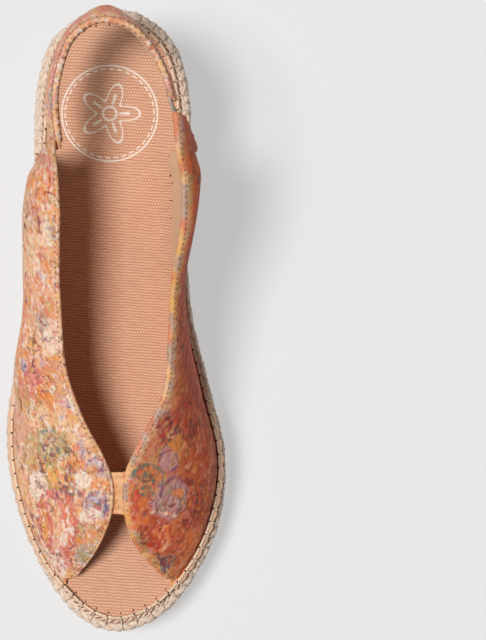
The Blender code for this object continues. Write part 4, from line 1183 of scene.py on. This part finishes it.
def medial_print(cloth):
    lay = cloth
    # the broad rust washes and the wine wash on this wall are partly print and partly painted shade
    lay.patch(8.1, 0.55, 10, "rust", 0.5, long=1.6)
    lay.patch(8.9, 0.72, 9, "rust", 0.5, long=1.6)
    lay.patch(6.3, 0.55, 9, "rust", 0.5, long=1.5)
    lay.specks(7.6, 0.55, 12, "wine", 0.62, long=1.8, size=1.6)
    lay.specks(9.5, 0.6, 12, "wine", 0.62, long=1.8, size=1.6)
    lay.specks(12.3, 0.6, 8, "navy", 0.55, size=1.6)
    lay.patch(11.2, 0.5, 10, "wine", 0.35, long=1.8)
    lay.patch(6.5, 0.87, 6, "tan", 0.7)
    lay.specks(7.2, 0.77, 7.2, "plum", 0.40)
    lay.specks(7.3, 0.80, 6.5, "red", 0.52)
    lay.patch(7.05, 0.74, 2.6, "peach", 0.8)
    lay.specks(6.9, 0.72, 5.5, "navy", 0.5)
    lay.specks(6.6, 0.84, 4.5, "rose", 0.5)
    lay.patch(6.6, 0.66, 4.0, "yellow", 0.75, long=1.5)
    lay.patch(6.2, 0.72, 4.5, "lavender", 0.75, long=1.3, turn=40)
    lay.ring(6.15, 0.72, 4.4, "violet", 0.6, broken=0.4)
    lay.patch(5.6, 0.85, 7.0, "tan", 0.8)
    lay.flower(5.6, 0.84, 6.2, 5, ("orange", "teal", "yellow", "wine"), 0)
    lay.ring(5.6, 0.84, 6.4, "teal", 1.0, broken=0.35)
    lay.specks(5.5, 0.86, 6.8, "teal", 0.52)
    lay.patch(5.45, 0.95, 2.6, "pink", 0.9)
    lay.patch(4.75, 0.68, 8.0, "lavender", 0.85, long=1.25, turn=-20)
    lay.ring(4.8, 0.66, 6.0, "violet", 0.8, long=1.3, turn=-20, broken=0.4)
    lay.specks(4.75, 0.66, 6.5, "grey", 0.5, size=1.8)
    lay.specks(4.9, 0.62, 4.0, "violet", 0.52)
    lay.patch(4.9, 0.62, 2.6, "orange", 0.8)
    lay.streak(4.2, 0.72, 13, 1.0, 70, "cream", 0.85)
    lay.petal(4.75, 0.95, 18, 7.5, 178, ("red", "coral", "orange"))
    lay.streak(4.7, 0.93, 14, 0.7, 178, "wine", 0.5)
    lay.petal(3.35, 0.80, 17, 13, 205, ("red", "rust", "orange"))
    lay.petal(3.1, 0.74, 13, 8, 170, ("red", "orange", "peach"))
    lay.specks(3.3, 0.78, 7, "red", 0.52)
    lay.specks(4.3, 0.48, 7, "wine", 0.52, long=1.5)
    lay.patch(3.1, 0.98, 4.5, "olive", 0.7, long=1.6)
    lay.specks(3.0, 0.95, 4, "wine", 0.6)
    lay.patch(1.85, 0.84, 5.0, "grey", 0.8)
    lay.specks(1.8, 0.82, 5.6, "plum", 0.38)
    lay.specks(1.75, 0.76, 4.6, "teal", 0.5)
    lay.patch(1.95, 0.97, 4.0, "yellow", 0.75, long=1.6)
    lay.patch(2.4, 0.40, 7, "orange", 0.5)
    # another broad rust wash low on the wall: partly painted shade
    lay.patch(5.7, 0.37, 8, "rust", 0.5)


def printed(side, points, to_edge):
    """Linear colours of a panel's points. On the medial side, painted shade darkens the wall, and a paler strip along
    the free edge is partly a painted highlight.
    """
    cloth = Cloth(side, points)
    # on the medial side the ground gets rust as painted shade, more of it away from the free edge
    cloth.paint = ground(cloth, 0.0 if side == LATERAL else 0.95 * smoothstep(1, 14, to_edge))
    if side == MEDIAL:
        medial_print(cloth)
        # fewer pale dabs on the medial wall: partly painted shade
        dabs(cloth, 0.4)
        # a paler strip along the medial free edge: mixed print tones, lightened as a painted highlight of the rolled
        # edge
        band_tone = layered_noise(points, (4, 6, 4), 51)
        strip = blend_colours(INK["peach"], INK["yellow"], 0.7 * smoothstep(0.4, 0.55, band_tone))
        strip = blend_colours(strip, INK["grey"], 0.8 * smoothstep(0.56, 0.66, value_noise(points, (5, 9, 5), 53)))
        strip = blend_colours(strip, INK["coral"], 0.7 * smoothstep(0.6, 0.7, value_noise(points, (4, 7, 4), 57)))
        # painted shade: the medial wall away from its free edge is darkened and reddened, more towards the heel
        behind = smoothstep(-52, -22, points[:, 1])[:, None]
        side_shade = smoothstep(2.0, 6.0, to_edge)[:, None] * (0.55 + 0.45 * behind)
        cloth.paint = cloth.paint * (1 - side_shade * (1 - np.array([0.94, 0.46, 0.28])))
        # the strip covers the last few millimetres below the free edge: partly print, partly painted highlight
        on_edge = smoothstep(2.4, 1.7, to_edge)
        cloth.paint = blend_colours(cloth.paint, strip, 0.72 * on_edge)
    else:
        lateral_print(cloth)
        wash = 0.30 * smoothstep(-25, 30, points[:, 1]) + 0.10
        cloth.paint = blend_colours(cloth.paint, INK["cream"], wash * smoothstep(0.3, 0.6, cloth.brush))
        cloth.paint = blend_colours(cloth.paint, INK["peach"], 0.45 * smoothstep(1.9, 1.2, to_edge))
        dabs(cloth, 1.0)
    return np.clip(cloth.paint, 0, 1)


# ---- heel strap ---------------------------------------------------------------------------------
def strap_grid(rows, columns, keep=1.0, trim=0.0):
    """Outer face of the strap; its height shrinks towards both ends. keep narrows it, and trim shortens it."""
    t = np.linspace(0, len(STRAP_TOP) - 1, 400)
    top, bottom = spaced(smooth(STRAP_TOP, t), 800), spaced(smooth(STRAP_BOTTOM, t), 800)
    along = lengths_along((top + bottom) / 2)
    stops = np.linspace(trim, along[-1] - trim, rows)
    high = np.stack([np.interp(stops, along, top[:, k]) for k in range(3)], axis=1)
    low = np.stack([np.interp(stops, along, bottom[:, k]) for k in range(3)], axis=1)
    from_end = np.minimum(np.minimum(stops, along[-1] - stops), STRAP_TAPER) / STRAP_TAPER
    share = keep * (NOSE + (1 - NOSE) * np.sin(from_end * math.pi / 2))
    middle, half = (high + low) / 2, (high - low) / 2
    levels = np.linspace(-1, 1, columns)
    grid = middle[:, None] + (half * share[:, None])[:, None] * levels[None, :, None]
    normals = grid_normals(grid)
    if normals[rows // 2, columns // 2] @ np.array([0, 1, 0.3]) < 0:
        normals = -normals
    return grid, normals, stops, levels


def strap_paint(ring):
    flat = ring.reshape(-1, 3)
    warp = np.stack([value_noise(flat, 4.0, 90 + k) - 0.5 for k in range(3)], axis=1)
    warped = flat + 3 * warp
    broad = layered_noise(warped, (8, 8, 5), 91)
    paint = blend_colours(INK["coral"], INK["peach"], 0.3 + 0.7 * smoothstep(0.35, 0.55, broad))
    paint = blend_colours(paint, INK["tan"], 0.7 * smoothstep(0.55, 0.65, layered_noise(warped, (7, 7, 4), 93)))
    paint = blend_colours(paint, INK["pink"], 0.75 * smoothstep(0.56, 0.66, layered_noise(warped, (6, 6, 4), 95)))
    paint = blend_colours(paint, INK["lavender"], 0.8 * smoothstep(0.62, 0.70, layered_noise(warped, (5, 5, 4), 97)))
    paint = blend_colours(paint, INK["cream"], 0.85 * smoothstep(0.64, 0.72, layered_noise(warped, (4, 4, 3), 99)))
    paint = blend_colours(paint, INK["grey"], 0.6 * smoothstep(0.66, 0.72, layered_noise(warped, (5, 5, 3), 101)))
    for ink, size, level, share in (("coral", 1.8, 0.70, 0.6), ("cream", 1.1, 0.70, 0.6), ("rust", 1.0, 0.70, 0.55),
                                    ("pink", 1.4, 0.66, 0.6), ("grey", 1.2, 0.74, 0.5), ("wine", 0.8, 0.80, 0.5)):
        field = value_noise(warped, (size, size, 0.8 * size), 103 + size)
        paint = blend_colours(paint, INK[ink], share * smoothstep(level, level + 0.08, field))
    return paint.reshape(*ring.shape[:2], 3)


def swing(piece, slot, *nodes):
    """The piece takes the place of the given CAD nodes, and its placement is baked into its mesh."""
    if nodes:
        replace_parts(piece, *nodes)
    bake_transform(piece)


def heel_strap():
    grid, normals, stops, levels = strap_grid(300, 34)
    pucker = 0.22 * np.cos(2 * math.pi * stops / 3.0)[:, None] * np.exp(-((1 - levels) / 0.35) ** 2)[None, :]
    wave = 0.7 * (layered_noise(grid, (9, 9, 6), 81) - 0.5)
    crown = 0.45 * (1 - levels ** 2)[None, :]
    seam = -0.3 * np.exp(-((levels - 0.895) / 0.05) ** 2)[None, :]
    flare = 0.55 * (1 - levels)[None, :]
    free = smoothstep(1.0, 6.0, stops)[:, None]  # the first 6 mm are sewn flat inside the lateral panel
    grid = grid + normals * ((wave + pucker + crown + seam + flare) * free - 0.1 - 0.5 * (1 - free))[..., None]
    thick = (1.3 + 0.9 * free)[..., None]
    swing(band("heel_strap_print", grid, normals, thick, LOOKS["print"], strap_paint), "printed_fabric", "heel_strap")
    strip, out, _, _ = strap_grid(240, 20, keep=0.74, trim=2.5)
    strip = strip - out * 2.45
    swing(band("heel_strap_lining_strip", strip, out, 0.35, LOOKS["lining"]), "lining_cloth", "heel_strap_lining")
    path, out, stops, _ = strap_grid(700, 20, trim=4.0)
    path, out = path[:, 18], out[:, 18]
    path = path + out * 0.15
    along = lengths_along(path)
    parts = []
    for start in np.arange(0.5, along[-1] - 3, 1.7):
        places = start + np.linspace(0, 1.3, 6)
        stitch = np.stack([np.interp(places, along, path[:, k]) for k in range(3)], axis=1)
        normal = np.stack([np.interp(places, along, out[:, k]) for k in range(3)], axis=1)
        arch = np.sin(np.linspace(0, math.pi, 6))
        parts.append(tube(stitch + normal * (0.1 * arch)[:, None], 0.11 * (0.5 + 0.5 * arch), 6, normal=normal))
    points, faces = joined(parts)
    swing(add_mesh("heel_strap_stitches", points, faces, LOOKS["stitch"]), "printed_fabric")


def strap_elastic():
    """Ribbed elastic from behind the medial panel's end to the strap's medial end."""
    knots = [inside_panel(MEDIAL, np.full(2, u), np.array([0.12, 0.88]), 1.5) for u in (15.1, 15.5, 15.9)]
    knots.append(np.array([(24.0, 80.8, 96.9), (23.7, 80.8, 106.1)]))
    knots.append(np.array([(23.3, 84.4, 97.2), (23.0, 84.4, 106.0)]))
    t = np.linspace(0, len(knots) - 1, 60)
    low = smooth(np.array([k[0] for k in knots]), t)
    high = smooth(np.array([k[1] for k in knots]), t)
    across = np.linspace(0, 1, 24)
    grid = low[:, None] * (1 - across)[None, :, None] + high[:, None] * across[None, :, None]
    normals = grid_normals(grid)
    normals = normals * np.sign(normals[30, 12, 0])
    ribs = 0.08 * np.cos(2 * math.pi * lengths_along(grid[:, 12]) / 1.1)
    made = band("strap_elastic_band", grid + normals * ribs[:, None, None], normals, 1.1, LOOKS["elastic"])
    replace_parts(made, "strap_elastic")
    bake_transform(made)


# ---- sewing -------------------------------------------------------------------------------------
def seam_height(side, y):
    """Height of the sewing cord: on the upper's lip, or on the canvas where there is no upper."""
    front, back = STATIONS[side][0][0], REAR[side][0][1]
    on_lip = np.clip((y - front + 12) / 4, 0, 1) * np.clip((back + 6 - y) / 4, 0, 1)
    return footbed(y) + 0.1 + THREAD / 2 + on_lip * (FABRIC + SEWN_GAP)


def edge_seam():
    """Two-ply cord round the sole, with the rungs of its blanket stitch over the jute, and dark dots of painted shade
    at the needle's holes and where the cord dives in.
    """
    line = PLAN - OUTWARD * CORD[:, None]
    heights = np.where(PLAN_SIDE == LATERAL, seam_height(LATERAL, PLAN[:, 1]), seam_height(MEDIAL, PLAN[:, 1]))
    path = np.column_stack([line, heights])
    closed = np.vstack([path, path[:1]])
    total = lengths_along(closed)[-1]
    path = spaced(closed, int(total / 0.45) + 1)[:-1]
    s = np.arange(len(path)) * total / len(path)
    along = unit(np.roll(path, -1, axis=0) - np.roll(path, 1, axis=0))
    side_way = unit(np.cross(along, (0, 0, 1.0)))
    up_way = np.cross(side_way, along)
    stitch = 5.5
    dip = -0.62 * (0.5 + 0.5 * np.cos(2 * math.pi * s / (total / round(total / stitch)))) ** 6
    parts = []
    for ply in (0, 1):
        turn = 2 * math.pi * round(total / 2.4) * s / total + math.pi * ply
        offset = 0.24 * (np.cos(turn)[:, None] * side_way + np.sin(turn)[:, None] * up_way)
        parts.append(tube(path + offset * 1.15 + dip[:, None] * up_way, 0.34, 7, closed=True))
    draw = np.random.default_rng(8)
    holes, loops, dives = [], [], []
    for k in range(round(total / stitch)):
        place = k * total / round(total / stitch)
        start = np.array([np.interp(place, s, path[:, n]) for n in range(3)])
        i = int(np.linalg.norm(line - start[:2], axis=1).argmin())
        out = np.array([*OUTWARD[i], 0.0])
        dives.append(start - (0, 0, 0.12))
        y = PLAN[i, 1]
        reach = CORD[i]
        bed = float(footbed(y))
        raised = start[2] - bed > 1.2
        edge = start + out * (1.6 if raised else 1.0) - (0, 0, 0.25)
        across = max(0.6 * reach + 0.5, 2.1 if raised else 1.5)
        jute = start + out * across
        jute[2] = bed - CANVAS + 0.1
        rim = start + out * max(reach + 0.15, across + 0.3)
        rim[2] = bed - 2.4
        end = start + out * (reach - 0.7)
        end[2] = bed - 3.8
        knots = np.array([start - (0, 0, 0.5), start + out * 0.3, edge, jute, rim, end])
        knots[1:, :2] += draw.uniform(-0.25, 0.25, 2)
        sideways = np.tile(np.cross(out, (0, 0, 1)), (18, 1))
        loops.append(tube(smooth(knots, np.linspace(0, 5, 18)), 0.2, 6, normal=sideways))
        if y < -100 or y > 66:
            spot = start - out * 1.5
            spot[2] = float(footbed(spot[1])) + 0.03
            holes.append(spot)
    for y in np.arange(36.0, 64.0, 3.4):
        spot = np.array([22.4 + draw.uniform(-0.6, 0.6), y + draw.uniform(-0.8, 0.8), 0.0])
        spot[2] = float(footbed(spot[1])) + 0.03
        holes.append(spot)
        tail = np.linspace(0, 1, 6)[:, None] * (draw.uniform(0.2, 1.0), draw.uniform(-1.8, 1.8), 0.0)
        tail[:, 2] = 0.15 + 0.35 * np.sin(np.linspace(0.2, 2.6, 6))
        parts.append(tube(spot + (0.5, 0.3, 0.0) + tail, 0.14, 5))
    points, faces = joined(parts)
    made = add_mesh("edge_seam_stitch", points, faces, LOOKS["cord"])
    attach(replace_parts(made, "edge_seam_cord"), "shoe")
    points, faces = joined(loops)
    made = add_mesh("edge_seam_loops", points, faces, LOOKS["jute"])
    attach(made, "shoe")
    # dark dots where the cord dives in and at the needle's holes: painted shade
    dots = []
    for spot in dives:
        ball = np.array([0.0, 0.0, 0.34])
        column = np.array([spot - ball * 2, spot - ball, spot, spot + ball * 0.6])
        dots.append(tube(column, (0.3, 0.5, 0.52, 0.2), 8, normal=np.tile((1.0, 0.0, 0.0), (4, 1))))
    for spot in holes:
        ring = np.array([[math.cos(a), math.sin(a), 0] for a in np.linspace(0, 2 * math.pi, 9)[:-1]])
        shape = np.vstack([spot + ring * 0.34, spot + ring * 0.2 + (0, 0, 0.05)])
        dots.append((shape, [grid_faces(2, 8, wrap_columns=True), np.arange(8, 16)[None, :]]))
    points, faces = joined(dots)
    made = add_mesh("needle_hole_shade_dots", points, faces, LOOKS["hole_shade"])
    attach(made, "shoe")


# ---- studio -------------------------------------------------------------------------------------
def studio():
    """Camera straight above, the sandal left of the middle, a faintly lit white table and one soft key light."""
    camera = bpy.data.cameras.new("camera")
    camera.lens = 166.0
    camera.sensor_width = 36.0
    camera.clip_end = 10.0
    holder = bpy.data.objects.new("camera", camera)
    holder.location = CAMERA_PLACE
    bpy.context.scene.collection.objects.link(holder)
    bpy.context.scene.camera = holder
    mesh = bpy.data.meshes.new("floor")
    corners = [(FLOOR_HALF * x, FLOOR_HALF * y, FLOOR_Z) for x, y in ((-1, -1), (1, -1), (1, 1), (-1, 1))]
    mesh.from_pydata(corners, [], [(0, 1, 2, 3)])
    floor = bpy.data.objects.new("floor", mesh)
    bpy.context.scene.collection.objects.link(floor)
    look = Nodes("floor_paper", roughness=0.9, specular=0.1)
    look.base((0.34, 0.34, 0.345))
    look.put(look.shader.inputs["Emission Color"], (1.0, 1.0, 1.0))
    look.put(look.shader.inputs["Emission Strength"], FLOOR_GLOW)
    mesh.materials.append(look.material)
    world = bpy.data.worlds.new("studio")
    world.use_nodes = True
    world.node_tree.nodes["Background"].inputs["Color"].default_value = (1.0, 1.0, 1.0, 1.0)
    world.node_tree.nodes["Background"].inputs["Strength"].default_value = WORLD_LIGHT
    bpy.context.scene.world = world
    sun = bpy.data.lights.new("key", "SUN")
    sun.energy = SUN_ENERGY
    sun.angle = math.radians(SUN_WIDTH)
    sun.color = (1.0, 0.995, 0.985)
    key = bpy.data.objects.new("key", sun)
    key.rotation_euler = Vector(TOWARDS_SUN).to_track_quat("Z", "Y").to_euler()
    bpy.context.scene.collection.objects.link(key)
    bpy.context.scene.view_settings.view_transform = "Standard"


LOOKS = {
    "print": print_material(),
    "canvas": canvas_material(),
    "jute": jute_material("jute_yarn", colour(255, 240, 222), colour(244, 206, 180)),
    # darker jute for the braids' backing: painted shade between the strands
    "shaded_jute_core": jute_material("shaded_jute_core", colour(196, 156, 130), colour(140, 104, 82)),
    "hair": jute_material("jute_fibre", colour(240, 222, 200), colour(214, 188, 164)),
    "cord": cord_material(),
    "stitch": stitch_material(),
    # dark dots for the needle's holes and the cord's dives: painted shade
    "hole_shade": solid_material("needle_hole_shade", colour(70, 34, 26), colour(48, 22, 18), 3.0, 0.05),
    "lining": woven_material("lining_cotton", colour(240, 204, 168), colour(208, 160, 124), 0.9, 0.7),
    "elastic": elastic_material(),
    "rubber": solid_material("crepe_rubber", colour(206, 168, 130), colour(176, 136, 100), 0.9, 0.25, 0.75,
                             pores=True),
    "eva": solid_material("eva_foam", colour(226, 214, 196), colour(200, 184, 162), 1.4, 0.2, 0.9, pores=True),
    "board": solid_material("fibre_board", colour(196, 168, 134), colour(160, 130, 98), 0.8, 0.15, 0.9),
    "foam": solid_material("open_foam", colour(240, 234, 216), colour(214, 206, 184), 1.8, 0.3, 0.95, pores=True),
    "interlining": solid_material("fused_interlining", colour(238, 234, 224), colour(214, 208, 194), 1.2, 0.12, 0.9),
}
sole()
for panel_side, panel_word, lining_end in ((LATERAL, "lateral", 14.6), (MEDIAL, "medial", 15.6)):
    panel_sheet(panel_side, panel_word)
    lining(panel_side, panel_word, lining_end)
throat_bridge()
heel_strap()
strap_elastic()
edge_seam()
studio()
